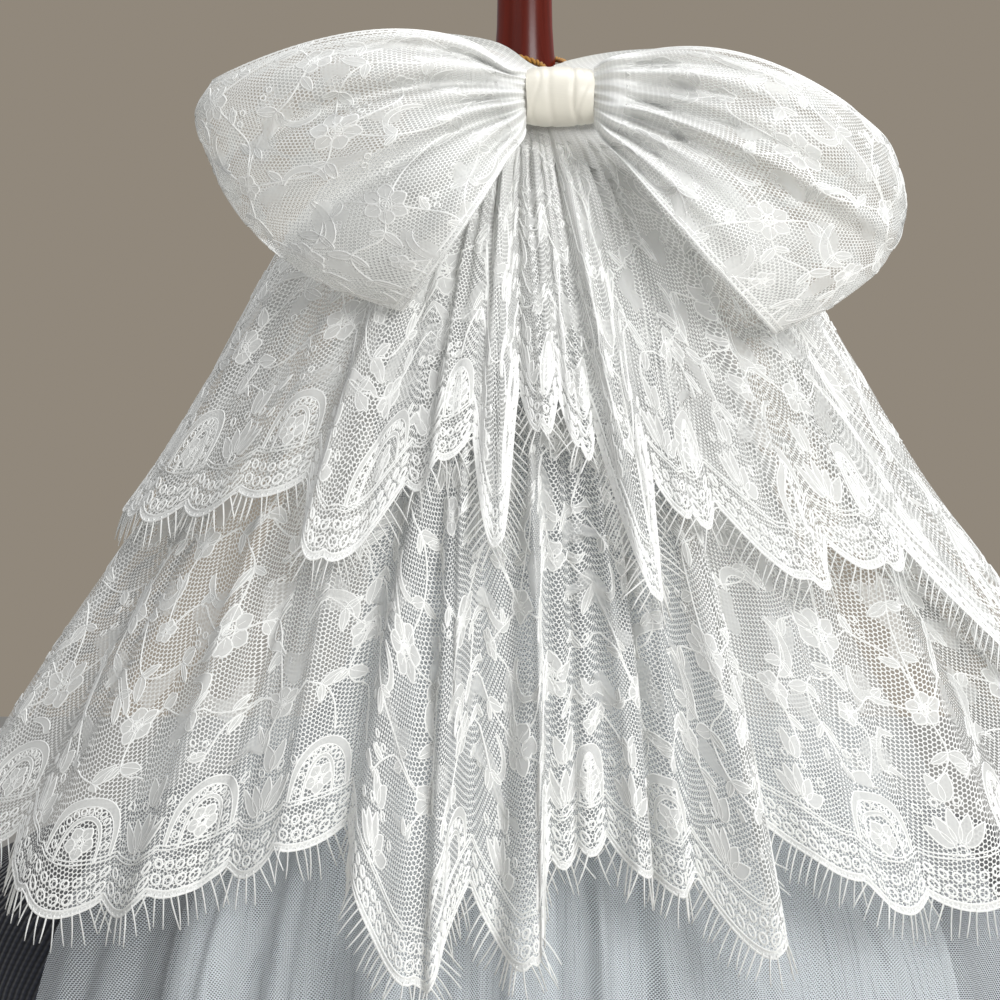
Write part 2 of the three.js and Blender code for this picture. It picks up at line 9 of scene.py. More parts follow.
import bmesh
import bpy
import numpy as np
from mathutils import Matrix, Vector


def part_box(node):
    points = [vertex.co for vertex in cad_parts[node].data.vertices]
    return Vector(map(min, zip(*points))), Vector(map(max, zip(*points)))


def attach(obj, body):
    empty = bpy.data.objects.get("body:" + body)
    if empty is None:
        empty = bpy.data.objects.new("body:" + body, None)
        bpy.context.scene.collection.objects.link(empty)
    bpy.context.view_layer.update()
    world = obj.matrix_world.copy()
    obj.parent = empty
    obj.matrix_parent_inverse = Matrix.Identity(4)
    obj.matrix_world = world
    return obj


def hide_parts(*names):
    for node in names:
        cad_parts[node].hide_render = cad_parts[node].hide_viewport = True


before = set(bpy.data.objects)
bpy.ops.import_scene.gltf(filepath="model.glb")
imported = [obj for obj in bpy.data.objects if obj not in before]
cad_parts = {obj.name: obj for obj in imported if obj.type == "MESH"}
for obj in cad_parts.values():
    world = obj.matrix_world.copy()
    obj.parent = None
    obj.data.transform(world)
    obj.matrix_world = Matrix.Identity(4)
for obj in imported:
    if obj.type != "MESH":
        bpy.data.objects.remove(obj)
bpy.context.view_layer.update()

bl_info = {
    "name": "Bow veil on a dress form",
    "version": (1, 0, 0),
    "blender": (4, 5, 0),
    "location": "View3D > Sidebar > Veil",
    "description": "Builds a lace bow veil with tulle layers, and the dress form that it hangs on",
    "category": "Object",
}

MM = 0.001
TAU = 2 * math.pi
KNOT_LOW, KNOT_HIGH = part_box("bow_knot")
KNOT = (KNOT_LOW + KNOT_HIGH) / 2 / MM  # the middle of the knot, in millimetres
VEIL_CENTRE_X = 2.0
HEAD_TOP, HEAD_FOOT, HEAD_ARC = 0.4, 6.0, 115.0
FAN_OUT = 150.0  # the pleats have swung from the binding to their place on the hem at this depth


def table(columns, *rows):
    """Rows of numbers as arrays, one for each named column."""
    return {name: np.array(values, float) for name, values in zip(columns.split(), zip(*rows))}


# How far a layer stands out from the veil's axis at each depth below the knot, and the share of its pleats'
# depth that has opened there.
LACE_REACH = table(
    "down side front rear pleat",
    (0, 32.9, 32.9, 32.9, 0),
    (6.3, 32.9, 32.9, 32.9, 0),
    (12, 39, 38, 37, 0.05),
    (22, 52, 48, 46, 0.1),
    (45, 68, 62, 58, 0.2),
    (78, 86, 78, 70, 0.32),
    (110, 104, 90, 80, 0.44),
    (150, 131, 104, 94, 0.62),
    (185, 153, 115, 107, 0.8),
    (215, 170, 124, 118, 0.95),
    (260, 187, 136, 130, 1.05),
)
TULLE_REACH = table(
    "down side front rear pleat",
    (0, 30.1, 30.1, 30.1, 0),
    (6.3, 30.1, 30.1, 30.1, 0),
    (22, 38, 39, 37, 0.12),
    (40, 48, 48, 47.5, 0.25),
    (78, 62, 62, 58, 0.5),
    (113, 78, 71, 66, 0.65),
    (150, 104, 80, 76, 0.78),
    (190, 136, 88, 86, 0.88),
    (240, 168, 102, 98, 0.98),
    (350, 190, 122, 112, 1.1),
    (600, 206, 138, 124, 1.3),
)
OVER_LACE = table(
    "down rise", (0, 1.5), (6.3, 1.5), (14, 4), (22, 5), (78, 7.2), (150, 12), (185, 15.5)
)
OVER_TULLE = table("down rise", (0, 1.4), (6.3, 1.4), (22, 3.2), (78, 5), (240, 8.4), (600, 11))
FLAT = table("down rise", (0, 0), (1, 0))

# One row for each trough between two pleats: its place on the hem in degrees from the front, the depth of the
# pleat after it, how far that pleat's crest leans, the hem's depth below the knot, and how much lower it dips
# on the pleat.
LONG_FOLDS = table(
    "turn deep lean hem dip",
    (-117, 5, 0, 198, 3),
    (-97, 6, 0, 201, 3),
    (-79, 5, 0, 203, 3),
    (-64, 6, 0, 203, 6),
    (-49, 6, 0, 217, 2),
    (-36, 6, 0, 206, 0),
    (-23.5, 14, 3, 194, 31),
    (-8, 10, 2.6, 209, 22),
    (2, 5, 0, 202, 0),
    (9, 6, 0, 197, 4),
    (19.5, 12, 2.2, 207, 24),
    (27.5, 9, 0, 193, 5),
    (45, 8, 0, 215, 3),
    (60, 6, 0, 206, 3),
    (79, 6, 0, 203, 3),
    (98, 5, 0, 201, 3),
    (117, 0, 0, 198, 0),
)
SHORT_FOLDS = table(
    "turn deep lean hem dip",
    (-117, 4, 0, 104, 3),
    (-95, 4, 0, 108, 3),
    (-75, 4, 0, 112, 2),
    (-58, 5, 0, 113, 0),
    (-36, 9, -1.5, 104, 20),
    (-20, 7, 0, 105, 0),
    (-10, 9, 1.6, 92, 34),
    (-2, 8, 1, 80, 9),
    (5, 7, 0, 82, 8),
    (11, 9, 1, 92, 36),
    (19, 7, 0, 104, 6),
    (28, 8, 1.5, 111, 14),
    (43, 6, 0, 122, 4),
    (56, 6, 0, 124, 22),
    (74, 5, 0, 146, 6),
    (95, 4, 0, 132, 3),
    (117, 0, 0, 118, 0),
)
UPPER_TULLE_FOLDS = table(
    "turn deep lean hem dip",
    (-47, 4, 0, 504, 2),
    (-38, 5, 0, 508, 3),
    (-28, 5, 1, 511, 3),
    (-17, 6, 0, 515, 3),
    (-7, 5, 0, 517, 3),
    (3, 6, 1, 517, 3),
    (12, 5, 0, 516, 3),
    (24, 6, 0, 512, 3),
    (38, 5, 0, 508, 3),
    (54, 0, 0, 503, 0),
)
LOWER_TULLE_FOLDS = table(
    "turn deep lean hem dip",
    (-66, 4, 0, 570, 2),
    (-54, 5, 0, 576, 3),
    (-41, 5, 1, 581, 3),
    (-27, 6, 0, 586, 3),
    (-15, 5, 1, 589, 3),
    (-5, 6, 0, 590, 3),
    (7, 5, 0, 590, 3),
    (17, 6, 1, 588, 3),
    (31, 5, 0, 584, 3),
    (47, 5, 0, 577, 3),
    (66, 0, 0, 570, 0),
)
# The rays of a bow loop from its upper edge to its lower, in millimetres from the knot's middle: where a ray
# ends on the outer fold, and the point that it bends towards on the way.
LEFT_LOOP = table(
    "across endX endY endZ bendX bendY bendZ",
    (0, -97, 4, 5, -42, -5, 29),
    (0.15, -102, 3, -5, -46, -7, 21),
    (0.35, -97, 0, -20, -44, -11, 6),
    (0.6, -86, -8, -37, -38, -19, -8),
    (0.82, -66, -20, -52, -30, -32, -22),
    (1, -43, -30, -60, -21, -42, -33),
)
RIGHT_LOOP = table(
    "across endX endY endZ bendX bendY bendZ",
    (0, 82, 4, -3, 42, -5, 22),
    (0.18, 93, 3, -14, 46, -7, 14),
    (0.4, 97, 0, -30, 48, -12, -2),
    (0.62, 91, -8, -45, 44, -21, -15),
    (0.82, 77, -19, -57, 38, -34, -26),
    (1, 58, -28, -66, 28, -42, -36),
)

# Creases laid by hand: the pleat that each stands at, its breadth in pleats, how far it stands out or goes in,
# and the depths below the knot between which it runs.
CREASES = {
    "long": (
        (0.6, 0.14, 2.0, 20, 190), (1.7, 0.11, -2.2, 60, 205), (2.5, 0.12, 2.4, 30, 210),
        (3.35, 0.09, -2.0, 90, 215), (4.4, 0.12, 2.6, 60, 225), (4.85, 0.07, -2.4, 110, 225),
        (5.5, 0.1, 2.4, 40, 215), (6.22, 0.08, 5.0, 80, 250), (6.5, 0.06, -8.0, 100, 250),
        (6.78, 0.08, 4.5, 70, 250), (7.3, 0.1, -5.5, 60, 250), (7.72, 0.09, 4.0, 30, 250),
        (8.45, 0.14, -4.5, 50, 220), (9.22, 0.09, 4.5, 70, 240), (9.5, 0.06, -7.0, 100, 250),
        (9.8, 0.08, 4.0, 60, 250), (10.35, 0.1, 3.6, 60, 215), (10.75, 0.07, -4.6, 90, 220),
        (11.3, 0.08, 2.2, 40, 220), (11.62, 0.06, -2.4, 90, 225), (12.5, 0.12, 2.3, 50, 220),
        (13.4, 0.1, -2.2, 70, 215), (14.3, 0.13, 2.0, 20, 205), (15.4, 0.1, -1.8, 80, 200),
    ),
    "short": (
        (0.5, 0.14, 1.6, 10, 110), (1.6, 0.1, -1.6, 40, 110), (2.5, 0.12, 1.8, 20, 120),
        (3.5, 0.1, -1.8, 40, 120), (4.3, 0.08, 2.2, 30, 125), (4.62, 0.07, -2.0, 60, 130),
        (5.5, 0.1, 2.0, 10, 120), (6.4, 0.12, -2.2, 30, 130), (7.5, 0.12, 2.2, 10, 100),
        (8.5, 0.12, -1.8, 30, 100), (9.35, 0.09, 2.4, 20, 135), (9.65, 0.08, -2.2, 50, 135),
        (10.4, 0.1, 2.2, 20, 125), (11.45, 0.07, -2.2, 40, 130), (11.75, 0.08, 2.2, 30, 130),
        (12.5, 0.09, 2.0, 30, 150), (13.35, 0.08, -2.0, 50, 160), (13.7, 0.08, 2.0, 40, 160),
        (14.5, 0.1, 1.8, 30, 145), (15.4, 0.12, -1.6, 40, 130),
    ),
    "upper": (
        (0.6, 0.12, 2.0, 60, 600), (1.5, 0.1, -2.0, 90, 600), (2.45, 0.12, 2.4, 50, 600),
        (3.55, 0.08, -2.2, 120, 600), (4.4, 0.1, 2.4, 70, 600), (5.5, 0.09, 2.2, 60, 600),
        (6.3, 0.12, -2.4, 90, 600), (7.5, 0.1, 2.2, 80, 600), (8.5, 0.1, -2.0, 120, 600),
    ),
    "lower": (
        (0.5, 0.14, -1.8, 80, 600), (1.4, 0.1, 2.2, 60, 600), (2.6, 0.1, -2.2, 100, 600),
        (3.4, 0.12, 2.4, 80, 600), (4.5, 0.1, -2.2, 90, 600), (5.5, 0.1, 2.4, 60, 600),
        (6.55, 0.12, -2.2, 120, 600), (7.45, 0.1, 2.2, 70, 600), (8.5, 0.1, -2.0, 100, 600),
        (9.45, 0.12, 2.0, 80, 600),
    ),
}
# Folds of the bow's loops, fanned out from the knot: place across the band, breadth, height and reach.
LEFT_CREASES = (
    (0.06, 0.035, 1.8, 0.7), (0.14, 0.04, -3.0, 0.55), (0.22, 0.05, 3.6, 0.9), (0.33, 0.045, -5.2, 1.3),
    (0.42, 0.05, 3.4, 1.4), (0.5, 0.035, -3.4, 0.55), (0.57, 0.05, 3.6, 0.85), (0.67, 0.05, -5.8, 1.5),
    (0.77, 0.05, 3.8, 0.85), (0.86, 0.04, -3.2, 0.6), (0.93, 0.035, 2.2, 0.9),
)
RIGHT_CREASES = (
    (0.06, 0.035, 1.6, 0.6), (0.14, 0.04, -2.6, 0.8), (0.22, 0.045, 2.8, 0.6), (0.31, 0.04, -3.4, 0.75),
    (0.39, 0.04, 2.4, 0.65), (0.46, 0.045, -5.4, 1.5), (0.54, 0.045, 5.8, 1.6), (0.64, 0.05, -4.8, 1.2),
    (0.72, 0.05, 3.4, 0.95), (0.81, 0.04, -3.8, 0.65), (0.89, 0.045, 3.0, 0.85), (0.96, 0.025, -1.6, 0.5),
)


def ease(x):
    """A smooth step from 0 to 1."""
    c = np.clip(x, 0, 1)
    return c * c * (3 - 2 * c)


def mix(a, b, share):
    """A value between a and b."""
    return a + (b - a) * share


def unit(vectors):
    """Vectors at a length of 1."""
    return vectors / (np.linalg.norm(vectors, axis=-1, keepdims=True) + 1e-12)


def column(rows, along, name):
    """One column of a table as a function of another, on a curve that never overshoots the rows."""
    x, y = rows[along], rows[name]
    rate = np.diff(y) / np.diff(x)
    before, after = rate[:-1], rate[1:]
    total = np.where(before + after == 0, 1, before + after)
    middle = np.where(before * after <= 0, 0, 2 * before * after / total)
    slope = np.concatenate([rate[:1], middle, rate[-1:]])

    def read(at):
        at = np.clip(at, x[0], x[-1])
        i = np.clip(np.searchsorted(x, at, side="right") - 1, 0, len(x) - 2)
        step = x[i + 1] - x[i]
        f = (at - x[i]) / step
        return (
            y[i] * (2 * f**3 - 3 * f**2 + 1)
            + slope[i] * step * (f**3 - 2 * f**2 + f)
            + y[i + 1] * (3 * f**2 - 2 * f**3)
            + slope[i + 1] * step * (f**3 - f**2)
        )

    return read


class Tier:
    """A gathered layer. A place on its cloth is (q, s): q from left edge to right, s from head to hem."""

    LEAN_FROM, LEAN_OVER = 40, 130  # the crests lean over this stretch of depths
    HEAD_CROWD = 0.4  # the pleats' spacing at the middle of the head, as a share of an even one
    SQUARE_OVER, GROW_OVER = 60, 16  # depths over which the oval squares up and the gathers grow
    CREASE_IN, CREASE_OUT = 40, 50  # depths over which a crease sets in and dies out
    MEASURED = 120  # points along a line from head to hem that is measured
    STEP = 0.02  # of a pleat, for the cloth's slope

    def __init__(self, creases, reach, over, folds, arc, square, scallop, ripples, seed):
        self.folds, self.arc, self.square, self.scallop = folds, arc, square, scallop
        self.creases = creases
        self.pleats = len(folds["turn"]) - 1
        self.side, self.front, self.rear, self.pleat = (
            column(reach, "down", name) for name in ("side", "front", "rear", "pleat")
        )
        self.rise = column(over, "down", "rise")
        dice = random.Random(seed)
        self.ripples = [
            (count * dice.uniform(0.85, 1.15), dice.uniform(0, TAU), deep, fade)
            for count, deep, fade in ripples
        ]
        self._measure()

    def parts(self, u):
        """The pleat that u is in, the share of it that is passed, and how far the pleat swells there."""
        i = np.clip(np.floor(u).astype(int), 0, self.pleats - 1)
        g = u - i
        return i, g, (1 - np.cos(TAU * g)) / 2

    def hem(self, u, lobes=True):
        """The hem's depth below the knot, with its scallops or at their mean."""
        i, g, bulge = self.parts(u)
        f = self.folds
        lobe = np.abs(np.sin(TAU * g)) ** 0.7 if lobes else 0.6
        return mix(f["hem"][i], f["hem"][i + 1], ease(g)) + f["dip"][i] * bulge**0.8 + self.scallop * lobe

    def at(self, u, down):
        """Points of the draped cloth, in millimetres in the row frame."""
        f = self.folds
        i, g, bulge = self.parts(u)
        lean = f["lean"][i] * bulge * ease((down - self.LEAN_FROM) / self.LEAN_OVER)
        hem_turn = mix(f["turn"][i], f["turn"][i + 1], g) + lean
        place = 2 * u / self.pleats - 1
        head_turn = self.arc * place * mix(self.HEAD_CROWD, 1, place * place)
        turn = np.radians(mix(head_turn, hem_turn, ease(np.sqrt(np.maximum(down, 0) / FAN_OUT))))
        side = self.side(down)
        ahead = np.where(np.cos(turn) > 0, self.front(down), self.rear(down))
        square = mix(2, self.square, ease((down - HEAD_FOOT) / self.SQUARE_OVER))
        oval = np.abs(np.sin(turn) / side) ** square + np.abs(np.cos(turn) / ahead) ** square
        radius = oval ** (-1 / square)
        out = radius + self.rise(down) + f["deep"][i] * bulge**0.72 * self.pleat(down)
        grown = ease((down - HEAD_FOOT) / self.GROW_OVER)
        for count, phase, deep, fade in self.ripples:
            out = out + deep * grown * np.sin(TAU * count * u + phase + down / 90) * np.exp(-down / fade)
        for place, wide, deep, start, end in self.creases:
            bump = np.exp(-(((u - place - 0.06 * np.sin(down / 37 + place * 5)) / wide) ** 2))
            begun = ease((down - start) / self.CREASE_IN)
            ended = ease((down - end) / self.CREASE_OUT + 0.5)
            out = out + deep * bump * begun * (1 - ended)
        return np.stack(
            [VEIL_CENTRE_X + out * np.sin(turn), -out * np.cos(turn), KNOT.z - down], axis=-1
        )

    def _measure(self):
        """Works out the flat cut: a part of a ring, from the lengths of the draped cloth."""
        u = np.linspace(0, self.pleats, self.pleats * 40 + 1)
        rim = self.at(u, self.hem(u, False))
        steps = np.linalg.norm(np.diff(rim, axis=0), axis=1)
        self.rim_length = steps.sum()
        self._u, self._q = u, np.concatenate([[0], np.cumsum(steps)]) / self.rim_length
        head = self.at(u, np.full_like(u, HEAD_FOOT))
        head_length = np.linalg.norm(np.diff(head, axis=0), axis=1).sum()
        middle = np.linspace(self.pleats * 0.3, self.pleats * 0.7, 9)
        share = np.linspace(0, 1, self.MEASURED)
        paths = []
        for m in middle:
            hem = float(self.hem(np.array([m]), False)[0])
            line = self.at(np.full(self.MEASURED, m), mix(HEAD_TOP, hem, share))
            paths.append(np.concatenate([[0], np.cumsum(np.linalg.norm(np.diff(line, axis=0), axis=1))]))
        path = np.mean(paths, axis=0)
        self.length = path[-1]
        self._share, self._s = share, path / path[-1]
        self.spread = (self.rim_length - head_length) / self.length
        self.inner = head_length / self.spread
        outer, half = self.inner + self.length, self.spread / 2
        self.area = half * (outer**2 - self.inner**2) * MM * MM
        self.cut = (
            2 * outer * math.sin(min(half, math.pi / 2)) * MM,
            (outer - (self.inner if half < math.pi / 2 else outer) * math.cos(half)) * MM,
        )

    def place(self, q, s, lift=0.0):
        """Points of the cloth at (q, s), in metres, raised off its outer side by lift millimetres."""
        u = np.interp(q, self._q, self._u)

        def down(u, s):
            depth = mix(HEAD_TOP, self.hem(u), np.interp(s, self._s, self._share))
            return depth + np.maximum(s - 1, 0) * self.length

        points = self.at(u, down(u, s))
        if np.any(lift):
            e = self.STEP
            along = self.at(u + e, down(u + e, s)) - self.at(u - e, down(u - e, s))
            fall = self.at(u, down(u, s) + 1) - self.at(u, down(u, s) - 1)
            points = points + unit(np.cross(fall, along)) * lift
        return points * MM

    def flat(self, q, s):
        """Where (q, s) lies on the flat cut, in millimetres."""
        angle, radius = (q - 0.5) * self.spread, self.inner + s * self.length
        return radius * np.sin(angle), radius * np.cos(angle)

    def unflat(self, x, y):
        """The (q, s) of points of the flat cut."""
        return np.arctan2(x, y) / self.spread + 0.5, (np.hypot(x, y) - self.inner) / self.length

    def edge(self, q, s):
        """Millimetres along the hem, and up from it."""
        return q * self.rim_length, (1 - s) * self.length

    def unedge(self, along, up):
        return along / self.rim_length, 1 - up / self.length


class Loop:
    """A bow loop: one band of lace over the outer fold.

    A place on it is (q, s): q from the upper edge to the lower, s from the knot round the fold and back.
    """

    RIM_LENGTH, LENGTH = 96.0, 216.0  # the flat band
    PINCH = 8.0  # half the height of the gathers at the knot
    GATHERED, FRONT, BACK = 5.4, 23.0, 7.5  # how far the panels puff out, at the knot and at their middle
    FOLDS, FOLD = 9, 1.1  # small waves across the band, and their height
    KNOT_HALF = 9.7
    BEHIND_X, BEHIND_Y, BEHIND_Z = -1.5, 8.5, 1.6  # where the back panel's upper edge ends behind the knot
    DIP, DIP_AT, DIP_WIDE = 3.8, 0.09, 0.075  # the left loop's upper edge dips beside the knot
    ROLL, ROLL_AT, ROLL_WIDE, ROLL_BACK = 3.4, 0.09, 0.07, 1.6  # the gathers roll out over the wrap's rim
    PUFFED, EDGE = 0.62, 0.72  # where the puff is full, and its share at the band's edges
    STEP = 0.004  # of the band, for the cloth's slope

    def __init__(self, rays, creases):
        self.hand = np.sign(rays["endX"][0])
        self.end = [column(rays, "across", name) for name in ("endX", "endY", "endZ")]
        self.bend = [column(rays, "across", name) for name in ("bendX", "bendY", "bendZ")]
        self.creases = creases
        self.rim_length, self.length = self.RIM_LENGTH, self.LENGTH

    def at(self, across, round_):
        """Points of the loop, in millimetres in the row frame."""
        far = np.sin(math.pi * np.clip(round_, 0, 1))
        # behind the wrap the upper edge of the back panel stands above it and meets the other loop's
        behind = np.where(round_ > 0.5, ease((0.4 - across) / 0.4), 0)
        start = [
            self.hand * mix(self.KNOT_HALF, self.BEHIND_X, behind),
            self.BEHIND_Y * behind,
            mix(self.PINCH, -self.PINCH, across) + self.BEHIND_Z * behind,
        ]
        near = 1 - far
        x, y, z = (
            start[k] * near**2 + 2 * self.bend[k](across) * far * near + self.end[k](across) * far**2
            for k in range(3)
        )
        if self.hand < 0:
            # the upper edge dips beside the knot, and lets the finial's foot and the twine show
            dip = self.DIP * np.exp(-(((far - self.DIP_AT) / self.DIP_WIDE) ** 2))
            z = z - dip * ease((0.35 - across) / 0.35)
        is_front = round_ < 0.5
        puff = mix(self.GATHERED, np.where(is_front, self.FRONT, self.BACK), ease(far / self.PUFFED))
        edge = mix(self.EDGE, 1, np.sin(math.pi * across))
        wave = np.sin(TAU * self.FOLDS * across + self.hand) * self.FOLD * ease(far / 0.5) * (1 - far)
        for centre, wide, deep, reach in self.creases:
            bump = np.exp(-(((across - centre) / wide) ** 2))
            wave = wave + deep * bump * ease(far / 0.22) * (1 - ease((far - reach * 0.45) / (reach * 0.55)))
        roll = np.exp(-(((far - self.ROLL_AT) / self.ROLL_WIDE) ** 2)) * is_front
        x = x - self.hand * self.ROLL_BACK * roll
        wave = wave + self.ROLL * roll * (1 + 0.5 * np.sin(TAU * 7 * across))
        out = puff * edge * np.cos(math.pi * round_) + np.where(is_front, wave, -wave / 2)
        return np.stack([KNOT.x + x, KNOT.y + y - out, KNOT.z + z], axis=-1)

    def place(self, q, s, lift=0.0):
        """Points of the band at (q, s), in metres, raised off its outer side by lift millimetres."""
        points = self.at(q, s)
        if np.any(lift):
            e = self.STEP
            along = self.at(q + e, s) - self.at(q - e, s)
            fall = self.at(q, s + e) - self.at(q, s - e)
            points = points + unit(np.cross(along, fall)) * self.hand * lift
        return points * MM

    def flat(self, q, s):
        return q * self.rim_length, s * self.length

    def unflat(self, x, y):
        return x / self.rim_length, y / self.length

    edge, unedge = flat, unflat


# The lace's pattern, charted by hand in millimetres on the flat cloth. One repeat of the all-over ground
# drops by half its height from each column of repeats to the next.
REPEAT_WIDE, REPEAT_TALL = 60.0, 70.0
EYE_RADIUS = 0.95  # the small rings of the ground and of the arches
FLOWERS = table(
    "x y size turn petals",
    (14, 16, 6.6, 10, 6),
    (42, 50, 7.4, 35, 6),
    (46, 14, 4.6, 70, 5),
    (12, 51, 5.0, 0, 5),
    (29, 31, 3.2, 20, 5),
)
# Stems: the places that each passes through, in order, and the sizes of the leaves that stand along it.
STEMS = (
    (((14, 16), (21, 25), (19, 38), (27, 46), (42, 50)), (6.5, 7.5, 6.5)),
    (((42, 50), (53, 58), (50, 71), (46, 84)), (7, 6)),
    (((14, 16), (5, 27), (10, 39), (12, 51)), (6, 7)),
    (((12, 51), (3, 60), (7, 73), (14, 86)), (7, 5.5)),
    (((46, 14), (34, 6), (24, 9), (14, 16)), (5.5, 5.5)),
    (((46, 14), (57, 23), (54, 37), (42, 50)), (7.5, 6.5)),
    (((12, 51), (23, 58), (30, 69), (46, 84)), (6, 7, 5)),
    (((29, 31), (36, 22), (46, 14)), (4.5,)),
    (((29, 31), (38, 33), (42, 50)), (5,)),
)
# Crescents of close stitch: middle, radius, first and last direction in degrees, and breadth.
CRESCENTS = (
    (32, 16, 7.5, 20, 165, 2.4),
    (4, 40, 8.5, 250, 395, 2.6),
    (56, 66, 7.0, 130, 280, 2.2),
    (27, 57, 6.0, -60, 80, 2.0),
    (48, 32, 6.0, 80, 230, 2.0),
)
# Patches of half stitch, closer than the net: middle, size and direction.
CLOUDS = (
    (8, 33, 7.5, 70), (30, 22, 6.5, 20), (40, 38, 8, 130), (54, 8, 6.5, 60), (26, 64, 8, 30),
    (56, 52, 6.5, 100), (20, 46, 5.5, 0), (36, 2, 6, 150),
)
BEADS = (
    (22, 4), (25, 6.2), (21, 7.2), (35, 40), (37.4, 42), (34.2, 43), (57, 46), (59.4, 48), (3, 8),
    (5.4, 10), (18, 64), (20, 66.2),
)


def petal(length, wide, steps=11):
    """A rounded petal's outline from the origin out along +Y."""
    t = np.linspace(0, 1, steps)
    half = wide / 2 * np.sin(math.pi * t**0.8) ** 0.75
    right = np.stack([half, length * t], -1)
    left = np.stack([-half, length * t], -1)[-2:0:-1]
    return np.concatenate([right, left])


def turned(points, degrees, x=0.0, y=0.0):
    """Points turned anticlockwise about the origin, then moved."""
    c, s = math.cos(math.radians(degrees)), math.sin(math.radians(degrees))
    return points @ np.array([[c, s], [-s, c]]) + (x, y)


def ring(radius, sides, x=0.0, y=0.0):
    """Points round a circle."""
    a = np.arange(sides) * TAU / sides
    return np.stack([x + radius * np.cos(a), y + radius * np.sin(a)], -1)


def smooth_line(places, per_step=6):
    """A curve through hand-placed points."""
    p = np.array(places, float)
    p = np.concatenate([[2 * p[0] - p[1]], p, [2 * p[-1] - p[-2]]])
    t = np.linspace(0, 1, per_step, endpoint=False)[:, None]
    pieces = []
    for a, b, c, d in zip(p, p[1:], p[2:], p[3:]):
        square, cube = 2 * a - 5 * b + 4 * c - d, 3 * b - a - 3 * c + d
        pieces.append(0.5 * (2 * b + (c - a) * t + square * t**2 + cube * t**3))
    return np.concatenate(pieces + [p[-2:-1]])


class Chart:
    """Outlines and close-stitched patches of a pattern, in millimetres on flat cloth."""

    def __init__(self):
        self.lines, self.patches, self.clouds = [], [], []

    def line(self, points, closed=False, breadth=1.0):
        self.lines.append((np.asarray(points, float), closed, breadth))

    def patch(self, points, breadth=1.0):
        self.line(points, True, breadth)
        self.patches.append(np.asarray(points, float))

    def band(self, points, breadth):
        """A close-stitched band along an open line, tapered to its ends."""
        points = np.asarray(points, float)
        along = unit(np.gradient(points, axis=0))
        across = np.stack([-along[:, 1], along[:, 0]], -1)
        half = breadth / 2 * np.sin(math.pi * np.linspace(0.04, 0.96, len(points)))[:, None] ** 0.5
        left, right = points + across * half, points - across * half
        self.line(left)
        self.line(right)
        for k in range(len(points) - 1):
            self.patches.append(np.array([left[k], left[k + 1], right[k + 1], right[k]]))

    def flower(self, x, y, size, turn, petals=5):
        self.line(ring(size * 0.17, 8, x, y), True)
        self.line(ring(size * 0.27, 10, x, y), True)
        for k in range(int(petals)):
            shape = petal(size * 0.72, size * 4.1 / petals) + (0, size * 0.3)
            self.patch(turned(shape, turn + 360 * k / petals, x, y), 1.15)
            vein = np.array([[0, size * 0.4], [0, size * 0.72]])
            self.line(turned(vein, turn + 360 * k / petals, x, y), breadth=0.8)

    def leaf(self, x, y, size, turn):
        self.patch(turned(petal(size, size * 0.44), turn, x, y))
        vein = np.array([[0, 0.08 * size], [0.03 * size, 0.5 * size], [0, 0.92 * size]])
        self.line(turned(vein, turn, x, y))

    def stem(self, places, leaves):
        curve = smooth_line(places)
        self.line(curve, breadth=1.2)
        for k, size in enumerate(leaves):
            i = int((k + 0.75) / (len(leaves) + 0.5) * (len(curve) - 1))
            way = curve[min(i + 1, len(curve) - 1)] - curve[i - 1]
            turn = math.degrees(math.atan2(-way[0], way[1]))
            side = 1 if k % 2 else -1
            self.leaf(*curve[i], size, turn + side * 48)
            if size > 6:
                self.leaf(*curve[i], size * 0.72, turn - side * 62)

    def crescent(self, x, y, radius, first, last, breadth):
        a = np.radians(np.linspace(first, last, 11))
        self.band(np.stack([x + radius * np.cos(a), y + radius * np.sin(a)], -1), breadth)

    def moved(self, x, y):
        out = Chart()
        out.lines = [(points + (x, y), closed, breadth) for points, closed, breadth in self.lines]
        out.patches = [points + (x, y) for points in self.patches]
        out.clouds = [points + (x, y) for points in self.clouds]
        return out

    def add(self, other):
        self.lines += other.lines
        self.patches += other.patches
        self.clouds += other.clouds


def one_repeat():
    """The ground's flowers, stems, crescents, beads and half stitch."""
    chart = Chart()
    for row in zip(*FLOWERS.values()):
        chart.flower(*row)
    for places, leaves in STEMS:
        chart.stem(places, leaves)
    for row in CRESCENTS:
        chart.crescent(*row)
    for x, y in BEADS:
        chart.line(ring(EYE_RADIUS, 8, x, y), True)
    for x, y, size, turn in CLOUDS:
        a = np.linspace(0, TAU, 18, endpoint=False)
        radius = size * (1 + 0.22 * np.sin(3 * a + x) + 0.12 * np.sin(5 * a + y))
        blob = np.stack([radius * np.cos(a), 0.62 * radius * np.sin(a)], -1)
        chart.clouds.append(turned(blob, turn, x, y))
    return chart


WRAPPED = 0.25  # a shape that spans more of the cloth's breadth lies across the open side of the cut
SELVEDGE = 0.003  # no shape comes nearer to the cloth's side edges, as a share of its breadth


